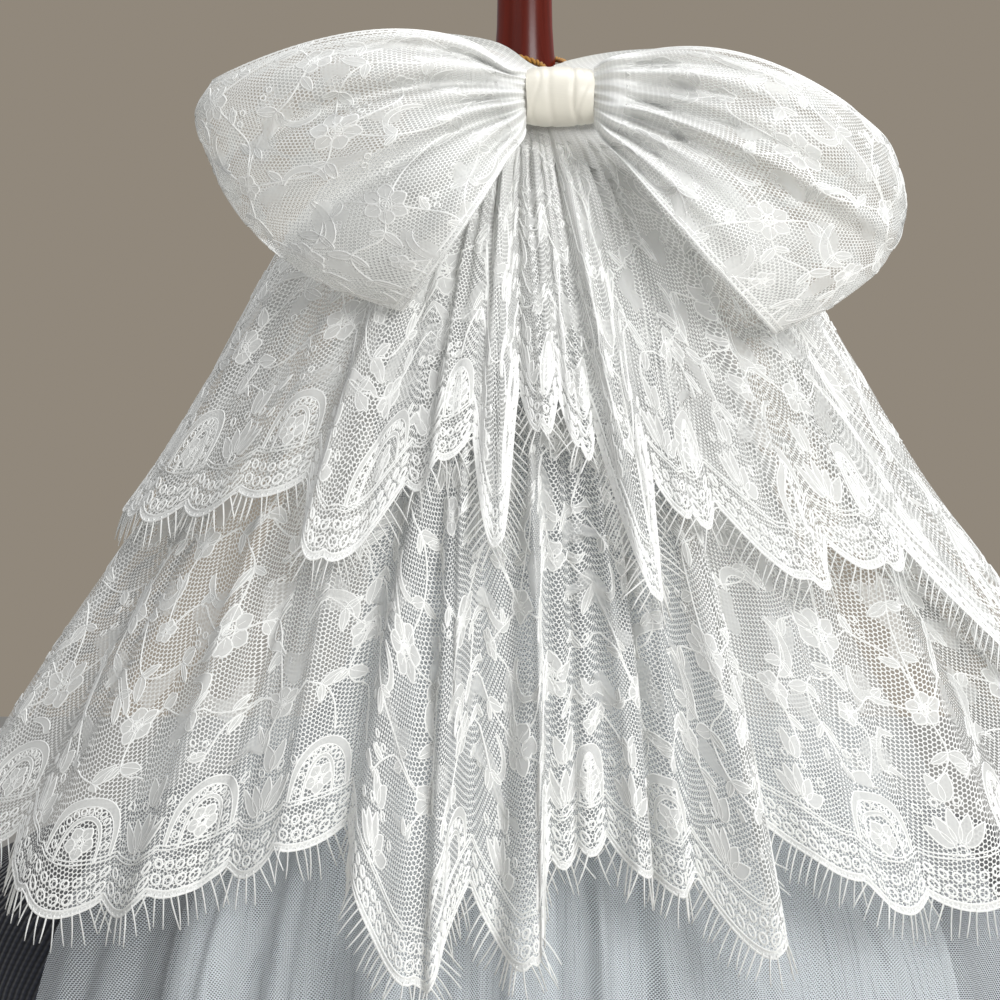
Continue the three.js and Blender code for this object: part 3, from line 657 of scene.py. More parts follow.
def keep(chart, cloth, low, high, unmap):
    """The chart's shapes that lie wholly on the cloth between two values of s, as (q, s)."""
    out = Chart()
    for points, closed, breadth in chart.lines:
        place = np.stack(unmap(points[:, 0], points[:, 1]), -1)
        if np.abs(np.diff(place[:, 0])).max() > WRAPPED:
            continue
        q, s = place.T
        inside = (q > SELVEDGE) & (q < 1 - SELVEDGE) & (s > low) & (s < high)
        if inside.all():
            out.lines.append((place, closed, breadth))
        elif inside.any():
            runs = np.flatnonzero(np.diff(np.concatenate([[0], inside.astype(int), [0]])))
            for a, b in zip(runs[::2], runs[1::2]):
                if b - a > 1:
                    out.lines.append((place[a:b], False, breadth))
    for made, kept in ((chart.patches, out.patches), (chart.clouds, out.clouds)):
        for points in made:
            place = np.stack(unmap(points[:, 0], points[:, 1]), -1)
            if np.ptp(place[:, 0]) > WRAPPED * 2:
                continue
            place[:, 0] = np.clip(place[:, 0], SELVEDGE, 1 - SELVEDGE)
            place[:, 1] = np.clip(place[:, 1], low, high)
            if np.ptp(place[:, 0]) * np.ptp(place[:, 1]) > 1e-7:
                kept.append(place)
    return out


def ground_pattern(cloth, low, high):
    """The all-over repeat on a cloth, between two values of s."""
    corners = [cloth.flat(q, s) for q in np.linspace(0, 1, 33) for s in (low, high)]
    xs, ys = zip(*corners)
    repeat, out = one_repeat(), Chart()
    for across in range(int(min(xs) // REPEAT_WIDE) - 1, int(max(xs) // REPEAT_WIDE) + 2):
        drop = REPEAT_TALL / 2 * (across % 2)
        for down in range(int(min(ys) // REPEAT_TALL) - 2, int(max(ys) // REPEAT_TALL) + 2):
            x, y = across * REPEAT_WIDE, down * REPEAT_TALL + drop
            q, s = cloth.unflat(x + REPEAT_WIDE / 2, y + REPEAT_TALL / 2)
            reach_q, reach_s = 60 / max(cloth.rim_length * 0.4, 60), 60 / cloth.length
            if not (-reach_q < q < 1 + reach_q and low - reach_s < s < high + reach_s):
                continue
            out.add(keep(repeat.moved(x, y), cloth, low, high, cloth.unflat))
    return out


# The scalloped border, in millimetres up from the hem.
BAND_TOP, FIRST_EYELETS, SECOND_EYELETS, ARC_FOOT, ARCH_FOOT, BORDER_TOP = 1.9, 4.6, 8.8, 11.6, 13.5, 33.0
ARCH_TALL, ARCH_EYES = 17.0, 11


def border_pattern(tier):
    """For each scallop: eyelets in rings, a double arc, and an arch of close stitch or a fan of petals."""
    cuts = np.interp(np.arange(tier.pleats * 2 + 1) / 2, tier._u, tier._q) * tier.rim_length
    chart = Chart()
    for number, (a, b) in enumerate(zip(cuts[:-1], cuts[1:])):
        wide, middle = b - a, (a + b) / 2
        for up, radius, spacing in ((FIRST_EYELETS, 1.45, 4.0), (SECOND_EYELETS, 1.2, 3.5)):
            count = max(2, round(wide / spacing))
            for k in range(count):
                chart.line(ring(radius, 10, a + (k + 0.5) * wide / count, up), True, 1.3)
        t = np.linspace(0, 1, 11)
        for lift in (0, 1.1):
            chart.line(np.stack([a + wide * t, ARC_FOOT + lift + 2.2 * np.sin(math.pi * t) ** 0.8], -1))
        t = np.linspace(0, 1, 19)
        if number % 2:
            half = wide * 0.42
            for inset, breadth in ((0, 2.2), (4.2, 1.0)):
                x = middle + (half - inset) * np.cos(math.pi * (1 - t))
                y = ARCH_FOOT + (ARCH_TALL - inset) * np.sin(math.pi * t) ** 0.75
                chart.band(np.stack([x, y], -1), breadth)
            for k in range(ARCH_EYES):
                angle = math.pi * (k + 0.5) / ARCH_EYES
                x = middle + (half - 2.3) * math.cos(angle)
                y = ARCH_FOOT + (ARCH_TALL - 2.3) * math.sin(angle) ** 0.75
                chart.line(ring(EYE_RADIUS, 8, x, y), True)
            chart.flower(middle, ARCH_FOOT + 6.2, 4.4, 36)
        else:
            for lean in (-58, -29, 0, 29, 58):
                long = 9.5 if lean == 0 else 8.2
                shape = petal(long, 3.7) + (0, 2.0)
                chart.patch(turned(shape, -lean, middle, ARCH_FOOT + 2.4), 1.15)
            chart.line(ring(1.5, 8, middle, ARCH_FOOT + 2.4), True)
            for lean in (-44, -15, 15, 44):
                x, y = turned(np.array([[0, 13.2]]), -lean, middle, ARCH_FOOT + 2.4)[0]
                chart.line(ring(1.2, 8, x, y), True)
            shape = petal(8.0, 4.2)
            for lean in (-24, 24):
                chart.patch(turned(shape, -lean, middle, ARCH_FOOT + 15.5))
    steps = np.linspace(0.5, tier.rim_length - 0.5, tier.pleats * 30)
    for up in (0.15, BAND_TOP):
        chart.line(np.stack([steps, np.full_like(steps, up)], -1), breadth=1.3)
    return keep(chart, tier, -0.1, 1.01, tier.unedge)


def pattern_mesh(name, cloth, chart, breadth, lift):
    """A pattern as one mesh on its cloth: a low ridge along each outline, and a fan over each patch."""
    shapes, sides = [], []
    for points, closed, share in chart.lines:
        if closed:
            points = np.concatenate([points, points[:1]])
        shapes.append(points)
        sides.append(np.full(len(points), share))
    spine, share = np.concatenate(shapes), np.concatenate(sides)
    lengths = np.array([len(shape) for shape in shapes])
    middle = cloth.place(spine[:, 0], spine[:, 1], lift)
    normal = unit(middle - cloth.place(spine[:, 0], spine[:, 1], 0.001))
    starts = np.concatenate([[0], np.cumsum(lengths)[:-1]])
    before, after = np.arange(len(spine)) - 1, np.arange(len(spine)) + 1
    ends = starts + lengths - 1
    before[starts], after[ends] = starts, ends
    closed = np.array([c for _, c, _ in chart.lines])
    before[starts[closed]] = ends[closed] - 1
    after[ends[closed]] = starts[closed] + 1
    across = unit(np.cross(middle[after] - middle[before], normal))
    half = across * (share * breadth / 2 * MM)[:, None]
    sink = normal * lift * 0.9 * MM
    points = np.stack([middle + half - sink, middle, middle - half - sink], axis=1).reshape(-1, 3)
    inner = np.setdiff1d(np.arange(len(spine)), ends)
    quads = []
    for row in (0, 1):
        a = inner * 3 + row
        quads.append(np.stack([a, a + 3, a + 4, a + 1], -1))
    quads = np.concatenate(quads)
    faces = quads.tolist()
    cords = len(faces)
    count = len(points)
    rims = chart.patches + chart.clouds
    hubs = np.array([shape.mean(axis=0) for shape in rims])
    rim_points = np.concatenate(rims)
    rim_places = cloth.place(rim_points[:, 0], rim_points[:, 1], lift * 0.45)
    hub_places = cloth.place(hubs[:, 0], hubs[:, 1], lift * 0.8)
    at = count
    stitched = 0
    for k, shape in enumerate(rims):
        n, hub = len(shape), count + len(rim_points) + k
        stitched += n * (k < len(chart.patches))
        faces += [(hub, at + i, at + (i + 1) % n) for i in range(n)]
        at += n
    everything = np.concatenate([points, rim_places, hub_places])
    mesh = bpy.data.meshes.new(name)
    mesh.from_pydata(everything.tolist(), [], faces)
    kind = np.zeros(len(faces), np.int32)
    kind[cords:] = 1
    kind[cords + stitched:] = 2
    mesh.polygons.foreach_set("material_index", kind)
    mesh.polygons.foreach_set("use_smooth", np.ones(len(faces), bool))
    mesh.update()
    return mesh


def strand_mesh(name, strands, radius, sides=3):
    """Tapered strands, each a row of points in metres with a taper from 0 to 1."""
    rows = len(strands[0][0])
    points = np.array([p for p, _ in strands])
    taper = np.array([t for _, t in strands])
    along = unit(np.gradient(points, axis=1))
    guide = unit(np.cross(along, (0.31, 0.27, 0.91)))  # no strand runs along this direction
    other = np.cross(along, guide)
    rings = []
    for k in range(sides):
        c, s = math.cos(TAU * k / sides), math.sin(TAU * k / sides)
        rings.append(points + (guide * c + other * s) * (taper * radius * MM)[..., None])
    everything = np.stack(rings, axis=2).reshape(-1, 3)
    faces = []
    for n in range(len(strands)):
        for r in range(rows - 1):
            a = (n * rows + r) * sides
            for k in range(sides):
                b = (k + 1) % sides
                faces.append((a + k, a + b, a + sides + b, a + sides + k))
        last = (n * rows + rows - 1) * sides
        faces.append(tuple(last + k for k in range(sides)))
    mesh = bpy.data.meshes.new(name)
    mesh.from_pydata(everything.tolist(), [], faces)
    mesh.polygons.foreach_set("use_smooth", np.ones(len(faces), bool))
    mesh.update()
    return mesh


def link(name, mesh, materials, replaces=()):
    """Adds a mesh as a piece that rides on the form and stands for CAD nodes."""
    piece = bpy.data.objects.new(name, mesh)
    bpy.context.scene.collection.objects.link(piece)
    for material in materials:
        mesh.materials.append(material)
    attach(piece, "root")
    if replaces:
        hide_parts(*replaces)
    return piece


def sheet_mesh(name, cloth, columns, rows, crowded):
    """A thin cloth grid on (q, s), with its flat cut as one UV map and its distance from the hem as another.

    Crowded gives, from s, how closely the gathers stand: 0 where the cloth is open, 1 where it is packed.
    """
    bm = bmesh.new()
    crowd = bm.verts.layers.float.new("crowd")
    flat_uv = bm.loops.layers.uv.new("cut")
    hem_uv = bm.loops.layers.uv.new("hem")
    bmesh.ops.create_grid(bm, x_segments=len(columns) - 1, y_segments=len(rows) - 1, size=1)
    bm.verts.ensure_lookup_table()
    grid = np.array([v.co[:2] for v in bm.verts])
    q = columns[np.rint((grid[:, 0] + 1) / 2 * (len(columns) - 1)).astype(int)]
    s = rows[np.rint((grid[:, 1] + 1) / 2 * (len(rows) - 1)).astype(int)]
    for vert, point, share in zip(bm.verts, cloth.place(q, s), crowded(s)):
        vert.co = point
        vert[crowd] = share
    cut = np.stack(cloth.flat(q, s), -1) * MM
    hem = np.stack(cloth.edge(q, s), -1) * MM
    for face in bm.faces:
        face.smooth = True
        for loop in face.loops:
            loop[flat_uv].uv = cut[loop.vert.index]
            loop[hem_uv].uv = hem[loop.vert.index]
    mesh = bpy.data.meshes.new(name)
    bm.to_mesh(mesh)
    bm.free()
    return mesh


# Materials


def new_group(name, inputs, outputs):
    """An empty shader node group with its sockets: (name, kind, default) for each input."""
    group = bpy.data.node_groups.new(name, "ShaderNodeTree")
    for label, kind, default in inputs:
        socket = group.interface.new_socket(label, in_out="INPUT", socket_type=kind)
        if default is not None:
            socket.default_value = default
    for label, kind in outputs:
        group.interface.new_socket(label, in_out="OUTPUT", socket_type=kind)
    return group, group.nodes.new("NodeGroupInput"), group.nodes.new("NodeGroupOutput")


class Wires:
    """Short calls for adding nodes and links to one node tree."""

    def __init__(self, tree):
        self.tree = tree

    def node(self, kind, **settings):
        node = self.tree.nodes.new(kind)
        for key, value in settings.items():
            setattr(node, key, value)
        return node

    def put(self, value, socket):
        if hasattr(value, "is_output"):
            self.tree.links.new(value, socket)
        else:
            socket.default_value = value

    def math(self, operation, a, b=0.0, c=0.0):
        node = self.node("ShaderNodeMath", operation=operation)
        for value, socket in zip((a, b, c), node.inputs):
            self.put(value, socket)
        return node.outputs[0]

    def dot(self, vector, direction):
        node = self.node("ShaderNodeVectorMath", operation="DOT_PRODUCT")
        self.put(vector, node.inputs[0])
        self.put(direction, node.inputs[1])
        return node.outputs["Value"]

    def step(self, value, low, high, out_low=0.0, out_high=1.0):
        node = self.node("ShaderNodeMapRange", interpolation_type="SMOOTHSTEP")
        for index, item in enumerate((value, low, high, out_low, out_high)):
            self.put(item, node.inputs[index])
        return node.outputs[0]

    def color(self, share, a, b):
        node = self.node("ShaderNodeMix", data_type="RGBA")
        self.put(share, node.inputs[0])
        self.put(a, node.inputs[6])
        self.put(b, node.inputs[7])
        return node.outputs[2]

    def group(self, group, **inputs):
        node = self.node("ShaderNodeGroup")
        node.node_tree = group
        for name, value in inputs.items():
            self.put(value, node.inputs[name])
        return node


def net_group():
    """Threads of a hexagonal net: 1 on the thread and 0 in the hole."""
    group, source, result = new_group(
        "hex_net",
        [
            ("Vector", "NodeSocketVector", None),
            ("Cell", "NodeSocketFloat", 0.0013),
            ("Thread", "NodeSocketFloat", 0.5),
        ],
        [("Threads", "NodeSocketFloat")],
    )
    w = Wires(group)
    pitch = w.math("DIVIDE", 2 * TAU / math.sqrt(3), source.outputs["Cell"])
    waves = []
    for degrees in (90, 210, 330):
        direction = (math.cos(math.radians(degrees)), math.sin(math.radians(degrees)), 0)
        along = w.dot(source.outputs["Vector"], direction)
        waves.append(w.math("COSINE", w.math("MULTIPLY", along, pitch)))
    total = w.math("ADD", w.math("ADD", waves[0], waves[1]), waves[2])
    level = w.math("SUBTRACT", w.math("MULTIPLY", source.outputs["Thread"], 2.0), 1.4)
    threads = w.step(w.math("SUBTRACT", total, level), -0.2, 0.2, 1.0, 0.0)
    w.tree.links.new(threads, result.inputs["Threads"])
    return group


def weave_group():
    """The height of a fine plain weave or ribbing on a UV map."""
    group, source, result = new_group(
        "fine_weave",
        [
            ("Vector", "NodeSocketVector", None),
            ("Pitch", "NodeSocketFloat", 0.0006),
            ("Rib", "NodeSocketFloat", 0.5),
        ],
        [("Height", "NodeSocketFloat")],
    )
    w = Wires(group)
    split = w.node("ShaderNodeSeparateXYZ")
    w.put(source.outputs["Vector"], split.inputs[0])
    turn = w.math("DIVIDE", TAU, source.outputs["Pitch"])
    across = w.math("SINE", w.math("MULTIPLY", split.outputs[0], turn))
    down = w.math("SINE", w.math("MULTIPLY", split.outputs[1], turn))
    ribs = w.math("MULTIPLY", across, source.outputs["Rib"])
    height = w.math("ADD", ribs, w.math("MULTIPLY", down, 0.35))
    w.tree.links.new(height, result.inputs["Height"])
    return group


def surface(name, color, roughness, sheen=0.0, **sockets):
    """A new material and its Principled node, with the values that are even all over set on its sockets."""
    material = bpy.data.materials.new(name)
    material.use_nodes = True
    shader = material.node_tree.nodes["Principled BSDF"]
    shader.inputs["Base Color"].default_value = (*color, 1)
    shader.inputs["Roughness"].default_value = roughness
    if sheen:
        shader.inputs["Sheen Weight"].default_value = sheen
        shader.inputs["Sheen Roughness"].default_value = 0.4
    for label, value in sockets.items():
        shader.inputs[label.replace("_", " ")].default_value = value
    return material, shader, Wires(material.node_tree)


def uv_map(wires, name):
    node = wires.node("ShaderNodeUVMap")
    node.uv_map = name
    return node.outputs[0]


def lace_net(name, color, groups, cell, thread, haze, has_border):
    """Net ground, with a closer hem band where it has a border."""
    material, shader, w = surface(name, color, 0.85, 0.15)
    alpha = w.group(groups["net"], Vector=uv_map(w, "cut"), Cell=cell * MM, Thread=thread).outputs[0]
    crowd = w.node("ShaderNodeAttribute", attribute_name="crowd").outputs["Fac"]
    alpha = w.math("MAXIMUM", alpha, w.math("MULTIPLY_ADD", crowd, 0.86 - haze, haze))
    if has_border:
        split = w.node("ShaderNodeSeparateXYZ")
        w.put(uv_map(w, "hem"), split.inputs[0])
        up = split.outputs[1]
        alpha = w.math("MAXIMUM", alpha, w.step(up, (BAND_TOP - 0.2) * MM, (BAND_TOP + 0.2) * MM, 0.8, 0.0))
    w.put(alpha, shader.inputs["Alpha"])
    return material


def thread_material(name, color, roughness=0.8):
    """Raised cords and lashes: a fine twist along Object coordinates."""
    material, shader, w = surface(name, color, roughness, 0.2)
    coordinates = w.node("ShaderNodeTexCoord").outputs["Object"]
    noise = w.node("ShaderNodeTexNoise")
    noise.inputs["Scale"].default_value = 900
    w.put(coordinates, noise.inputs["Vector"])
    shade = w.color(w.step(noise.outputs[0], 0.3, 0.7), (*[c * 0.93 for c in color], 1), (*color, 1))
    w.put(shade, shader.inputs["Base Color"])
    return material


def stitch_material(name, color, alpha):
    """Cloth stitch of petals and leaves, thin enough to show what is under it."""
    material, shader, w = surface(name, color, 0.85, 0.15)
    shader.inputs["Alpha"].default_value = alpha
    return material


def tulle_material(name, color, groups, cell, thread, haze):
    """Plain net, with a haze that stands for threads too fine to see."""
    material, shader, w = surface(name, color, 0.8, 0.1)
    net = w.group(groups["net"], Vector=uv_map(w, "cut"), Cell=cell * MM, Thread=thread).outputs[0]
    w.put(w.math("MAXIMUM", w.math("MULTIPLY", net, 0.9), haze), shader.inputs["Alpha"])
    return material


def satin_material(name, color):
    """Soft satin with a fine grain drawn out across the wrap."""
    material, shader, w = surface(name, color, 0.38, 0.4)
    coordinates = w.node("ShaderNodeTexCoord").outputs["Object"]
    mapping = w.node("ShaderNodeMapping")
    mapping.inputs["Scale"].default_value = (300, 1500, 2600)
    w.put(coordinates, mapping.inputs["Vector"])
    noise = w.node("ShaderNodeTexNoise")
    noise.inputs["Scale"].default_value = 1.0
    w.put(mapping.outputs[0], noise.inputs["Vector"])
    bump = w.node("ShaderNodeBump")
    bump.inputs["Strength"].default_value = 0.2
    bump.inputs["Distance"].default_value = 0.0002
    w.put(noise.outputs[0], bump.inputs["Height"])
    w.put(bump.outputs[0], shader.inputs["Normal"])
    w.put(w.step(noise.outputs[0], 0.3, 0.7, 0.34, 0.5), shader.inputs["Roughness"])
    return material


def wood_material(name, dark, light, grain):
    """Varnished wood; grain is how fast it changes along X, Y and Z."""
    material, shader, w = surface(
        name, light, 0.3, Coat_Weight=0.1, Coat_Roughness=0.2, Specular_IOR_Level=0.2
    )
    coordinates = w.node("ShaderNodeTexCoord").outputs["Object"]
    mapping = w.node("ShaderNodeMapping")
    mapping.inputs["Scale"].default_value = grain
    w.put(coordinates, mapping.inputs["Vector"])
    noise = w.node("ShaderNodeTexNoise")
    noise.inputs["Scale"].default_value = 3
    noise.inputs["Detail"].default_value = 6
    noise.inputs["Distortion"].default_value = 0.6
    w.put(mapping.outputs[0], noise.inputs["Vector"])
    tone = w.color(w.step(noise.outputs[0], 0.35, 0.65), (*dark, 1), (*light, 1))
    w.put(tone, shader.inputs["Base Color"])
    w.put(w.step(noise.outputs[0], 0.3, 0.7, 0.24, 0.4), shader.inputs["Roughness"])
    return material


def cover_material(name, color, groups):
    """The form's ribbed black cover."""
    material, shader, w = surface(name, color, 0.92, 0.35)
    height = w.group(groups["weave"], Vector=uv_map(w, "cut"), Pitch=1.5 * MM, Rib=1.0).outputs[0]
    tone = w.color(w.step(height, -0.6, 1.1), (*color, 1), (*[c * 3.2 for c in color], 1))
    w.put(tone, shader.inputs["Base Color"])
    bump = w.node("ShaderNodeBump")
    bump.inputs["Strength"].default_value = 0.6
    bump.inputs["Distance"].default_value = 0.0004
    w.put(height, bump.inputs["Height"])
    w.put(bump.outputs[0], shader.inputs["Normal"])
    return material


_shared, _tiers = {}, {}


def shared():
    """The node groups and the materials that several pieces use."""
    if not _shared:
        settings = bpy.context.scene.veil_finish
        groups = {"net": net_group(), "weave": weave_group()}
        dark = tuple(0.42 * c for c in settings.wood_color)
        lace = tuple(settings.lace_color)
        _shared.update(
            groups=groups,
            net=lace_net("lace net", lace, groups, settings.net_cell, 0.34, 0.1, True),
            bow_net=lace_net("bow lace net", lace, groups, settings.net_cell, 0.34, 0.16, False),
            cord=thread_material("cordonnet", tuple(min(1, 1.08 * c) for c in lace)),
            stitch=stitch_material("cloth stitch", tuple(0.97 * c for c in lace), 0.62),
            cloud=stitch_material("half stitch", lace, 0.34),
            tulle=tulle_material("tulle", tuple(settings.tulle_color), groups, 0.62, 0.29, 0.17),
            band=surface("woven tape", (0.8, 0.78, 0.72), 0.75, 0.3)[0],
            twine=thread_material("ochre twine", (0.42, 0.2, 0.03), 0.7),
            satin=satin_material("cream satin", tuple(settings.satin_color)),
            wood=wood_material("turned wood", dark, tuple(settings.wood_color), (22, 30, 3)),
            board=wood_material("board wood", dark, tuple(settings.wood_color), (2.2, 34, 30)),
            cover=cover_material("black ribbed cover", tuple(settings.cover_color), groups),
        )
    return _shared


# Pieces


# Small gathers between the pleats: how many to a pleat, their depth, and the depth below the knot at which
# they have mostly died out.
LACE_RIPPLES = ((2.3, 1.2, 75), (3.7, 0.8, 50), (1.35, 1.3, 120), (0.63, 1.6, 190))
TULLE_RIPPLES = ((1.4, 1.2, 500), (2.3, 0.8, 300), (3.6, 0.6, 120))
# The layers: reach, rise over the layer below, folds, arc of the head in degrees, power of the oval, depth of
# the scallops, ripples and seed.
LAYERS = {
    "short": (LACE_REACH, OVER_LACE, SHORT_FOLDS, HEAD_ARC, 2.35, 4.5, LACE_RIPPLES, 3),
    "long": (LACE_REACH, FLAT, LONG_FOLDS, HEAD_ARC, 2.35, 4.5, LACE_RIPPLES, 8),
    "upper": (TULLE_REACH, OVER_TULLE, UPPER_TULLE_FOLDS, 80, 2, 0, TULLE_RIPPLES, 21),
    "lower": (TULLE_REACH, FLAT, LOWER_TULLE_FOLDS, 82, 2, 0, TULLE_RIPPLES, 34),
}


def tiers():
    """The four gathered layers, each measured once."""
    if not _tiers:
        _tiers.update({name: Tier(CREASES[name], *row) for name, row in LAYERS.items()})
    return _tiers


def lashes(tier, seed, spacing, length):
    """The eyelash fringe: fine threads square to the hem, each with its own bend and length."""
    dice = random.Random(seed)
    count = int(tier.rim_length / spacing)
    along = (np.arange(count) + 0.5 + [dice.uniform(-0.18, 0.18) for _ in range(count)]) * spacing
    q = np.clip(along / tier.rim_length, 0.002, 0.998)
    root = tier.place(q, np.full(count, 1 - 0.9 / tier.length), 0.1)
    e = 0.6 / tier.rim_length
    rim = unit(tier.place(q + e, np.ones(count)) - tier.place(q - e, np.ones(count)))
    fall = tier.place(q, np.ones(count)) - tier.place(q, np.full(count, 0.97))
    fall = unit(fall - rim * np.sum(fall * rim, axis=1, keepdims=True))
    fall = unit(fall * 0.7 + (0, 0, -0.45))
    strands = []
    t = np.linspace(0, 1, 6)[:, None]
    for k in range(count):
        reach = length * dice.uniform(0.84, 1.1) * MM
        sway, curve = dice.uniform(-0.1, 0.1), dice.uniform(-0.16, 0.16)
        points = root[k] + reach * (fall[k] * t + rim[k] * (sway * t + curve * t * t))
        points += reach * np.array([0, 0, -0.12]) * t * t
        strands.append((points, 1 - 0.45 * t[:, 0] ** 2))
    return strands


class VEIL_PG_sizes(bpy.types.PropertyGroup):
    cord: bpy.props.FloatProperty(
        name="Cordonnet", description="Breadth of the lace's outlines, in mm", default=0.46
    )
    lash: bpy.props.FloatProperty(
        name="Lash", description="Radius of an eyelash thread at its root, in mm", default=0.3
    )
    lift: bpy.props.FloatProperty(
        name="Relief", description="How far the outlines stand off the net, in mm", default=0.3
    )
    lash_length: bpy.props.FloatProperty(
        name="Lash length", description="Length of the eyelash threads, in mm", default=8.2
    )
    lash_gap: bpy.props.FloatProperty(
        name="Lash spacing", description="Distance between eyelash threads, in mm", default=2.3
    )


class VEIL_PG_finish(bpy.types.PropertyGroup):
    lace_color: bpy.props.FloatVectorProperty(
        name="Lace", description="Colour of the lace", subtype="COLOR", default=(0.84, 0.845, 0.825)
    )
    tulle_color: bpy.props.FloatVectorProperty(
        name="Tulle", description="Colour of the tulle", subtype="COLOR", default=(0.8, 0.85, 0.885)
    )
    satin_color: bpy.props.FloatVectorProperty(
        name="Satin", description="Colour of the knot", subtype="COLOR", default=(0.74, 0.71, 0.62)
    )
    wood_color: bpy.props.FloatVectorProperty(
        name="Wood", description="Light tone of the wood", subtype="COLOR", default=(0.19, 0.019, 0.008)
    )
    cover_color: bpy.props.FloatVectorProperty(
        name="Cover", description="Colour of the cover", subtype="COLOR", default=(0.006, 0.007, 0.011)
    )
    net_cell: bpy.props.FloatProperty(
        name="Net cell", description="Width of a cell of the net, in mm", default=1.3
    )


# how far from the head, or from the knot, the gathers open out, in millimetres
LACE_PACKED, TULLE_PACKED, BOW_PACKED = 95, 90, 46


def lace_tier(name, tier, node, fringe_node, seed, ground_from):
    """One tier of scalloped lace: its net, its raised pattern and its eyelash fringe."""
    sizes, made = bpy.context.scene.veil_sizes, shared()
    u = np.linspace(0, tier.pleats, tier.pleats * 24 + 1)
    q = np.interp(u, tier._u, tier._q)
    rows = np.concatenate([np.linspace(0, 0.18, 14)[:-1], np.linspace(0.18, 1, 56)])
    mesh = sheet_mesh(f"{name}_net", tier, q, rows, lambda s: 1 - ease(s * tier.length / LACE_PACKED))
    net = link(f"{name}_net", mesh, [made["net"]], [node])
    chart = ground_pattern(tier, ground_from, 1 - BORDER_TOP / tier.length)
    chart.add(border_pattern(tier))
    mesh = pattern_mesh(f"{name}_pattern", tier, chart, sizes.cord, sizes.lift)
    pattern = link(f"{name}_pattern", mesh, [made["cord"], made["stitch"], made["cloud"]])
    strands = lashes(tier, seed, sizes.lash_gap, sizes.lash_length)
    lash_mesh = strand_mesh(f"{name}_lashes", strands, sizes.lash)
    fringe = link(f"{name}_lashes", lash_mesh, [made["cord"]], [fringe_node])


class VEIL_OT_lace_tiers(bpy.types.Operator):
    """Builds the two tiers of scalloped lace"""

    bl_idname = "veil.lace_tiers"
    bl_label = "Lace tiers"

    def execute(self, context):
        lace_tier("short_lace", tiers()["short"], "short_lace", "short_fringe", 5, 0.1)
        lace_tier("long_lace", tiers()["long"], "long_lace", "long_fringe", 6, 0.3)
        return {"FINISHED"}


class VEIL_OT_tulle(bpy.types.Operator):
    """Builds the two plain tulle layers"""

    bl_idname = "veil.tulle"
    bl_label = "Tulle"

    def execute(self, context):
        for name in ("upper", "lower"):
            tier = tiers()[name]
            u = np.linspace(0, tier.pleats, tier.pleats * 20 + 1)
            rows = np.concatenate([np.linspace(0, 0.1, 9)[:-1], np.linspace(0.1, 1, 60)])
            q = np.interp(u, tier._u, tier._q)
            packed = lambda s: 1 - ease(s * tier.length / TULLE_PACKED)
            mesh = sheet_mesh(f"{name}_tulle_sheet", tier, q, rows, packed)
            piece = link(f"{name}_tulle_sheet", mesh, [shared()["tulle"]], [f"{name}_tulle"])
        return {"FINISHED"}


LOOPS = {"left": (LEFT_LOOP, LEFT_CREASES), "right": (RIGHT_LOOP, RIGHT_CREASES)}
TAPES = (0.006, 0.022, 0.978, 0.994)  # cords along the band's two edges


class VEIL_OT_bow(bpy.types.Operator):
    """Builds the bow's two lace loops"""

    bl_idname = "veil.bow"
    bl_label = "Bow loops"

    def execute(self, context):
        sizes, made = context.scene.veil_sizes, shared()
        for name, (rays, creases) in LOOPS.items():
            loop = Loop(rays, creases)
            across = np.linspace(0, 1, 141)
            around = np.linspace(0, 1, 121)
            packed = lambda s: 1 - ease(np.minimum(s, 1 - s) * loop.length / BOW_PACKED)
            mesh = sheet_mesh(f"bow_{name}_net", loop, across, around, packed)
            net = link(f"bow_{name}_net", mesh, [made["bow_net"]], [f"bow_loop_{name}"])
            chart = ground_pattern(loop, 0.04, 0.96)
            steps = np.linspace(0.01, 0.99, 140)
            for edge in TAPES:
                chart.line(np.stack([np.full_like(steps, edge), steps], -1), breadth=1.3)
            pattern = link(
                f"bow_{name}_pattern",
                pattern_mesh(f"bow_{name}_pattern", loop, chart, sizes.cord, sizes.lift),
                [made["cord"], made["stitch"], made["cloud"]],
            )
        return {"FINISHED"}


ROUND_METRES = 0.13  # the mean radius that turns an angle round the form into metres of cover


def smooth_mesh(name, points, across, closed_rows, ends=False):
    """A skin over rows of points, each row a ring. Ends closes the first and the last with a flat face."""
    rows = len(points) // across
    faces = []
    for r in range(rows if closed_rows else rows - 1):
        a, b = r * across, (r + 1) % rows * across
        faces += [(a + k, a + (k + 1) % across, b + (k + 1) % across, b + k) for k in range(across)]
    if ends:
        faces.append(tuple(range(across))[::-1])
        faces.append(tuple((rows - 1) * across + k for k in range(across)))
    mesh = bpy.data.meshes.new(name)
    mesh.from_pydata([tuple(c * MM for c in p) for p in points], [], faces)
    mesh.validate()
    bm = bmesh.new()
    bm.from_mesh(mesh)
    bmesh.ops.remove_doubles(bm, verts=bm.verts, dist=1e-7)
    bmesh.ops.recalc_face_normals(bm, faces=bm.faces)
    uv = bm.loops.layers.uv.new("cut")
    for face in bm.faces:
        face.smooth = True
        turns = [math.atan2(loop.vert.co.x, -loop.vert.co.y) for loop in face.loops]
        for loop, turn in zip(face.loops, turns):
            turn += TAU * ((turns[0] - turn > math.pi) - (turn - turns[0] > math.pi))
            loop[uv].uv = (turn * ROUND_METRES, loop.vert.co.z)
    bm.to_mesh(mesh)
    bm.free()
    mesh.set_sharp_from_angle(angle=math.radians(40))
    return mesh


# Folds round the satin wrap: place across it, breadth and depth, as shares of its half width and its radius.
WRAP_FOLDS = ((0.42, 0.07, 0.055), (-0.3, 0.1, 0.03), (0.68, 0.05, 0.03), (-0.72, 0.06, 0.025))


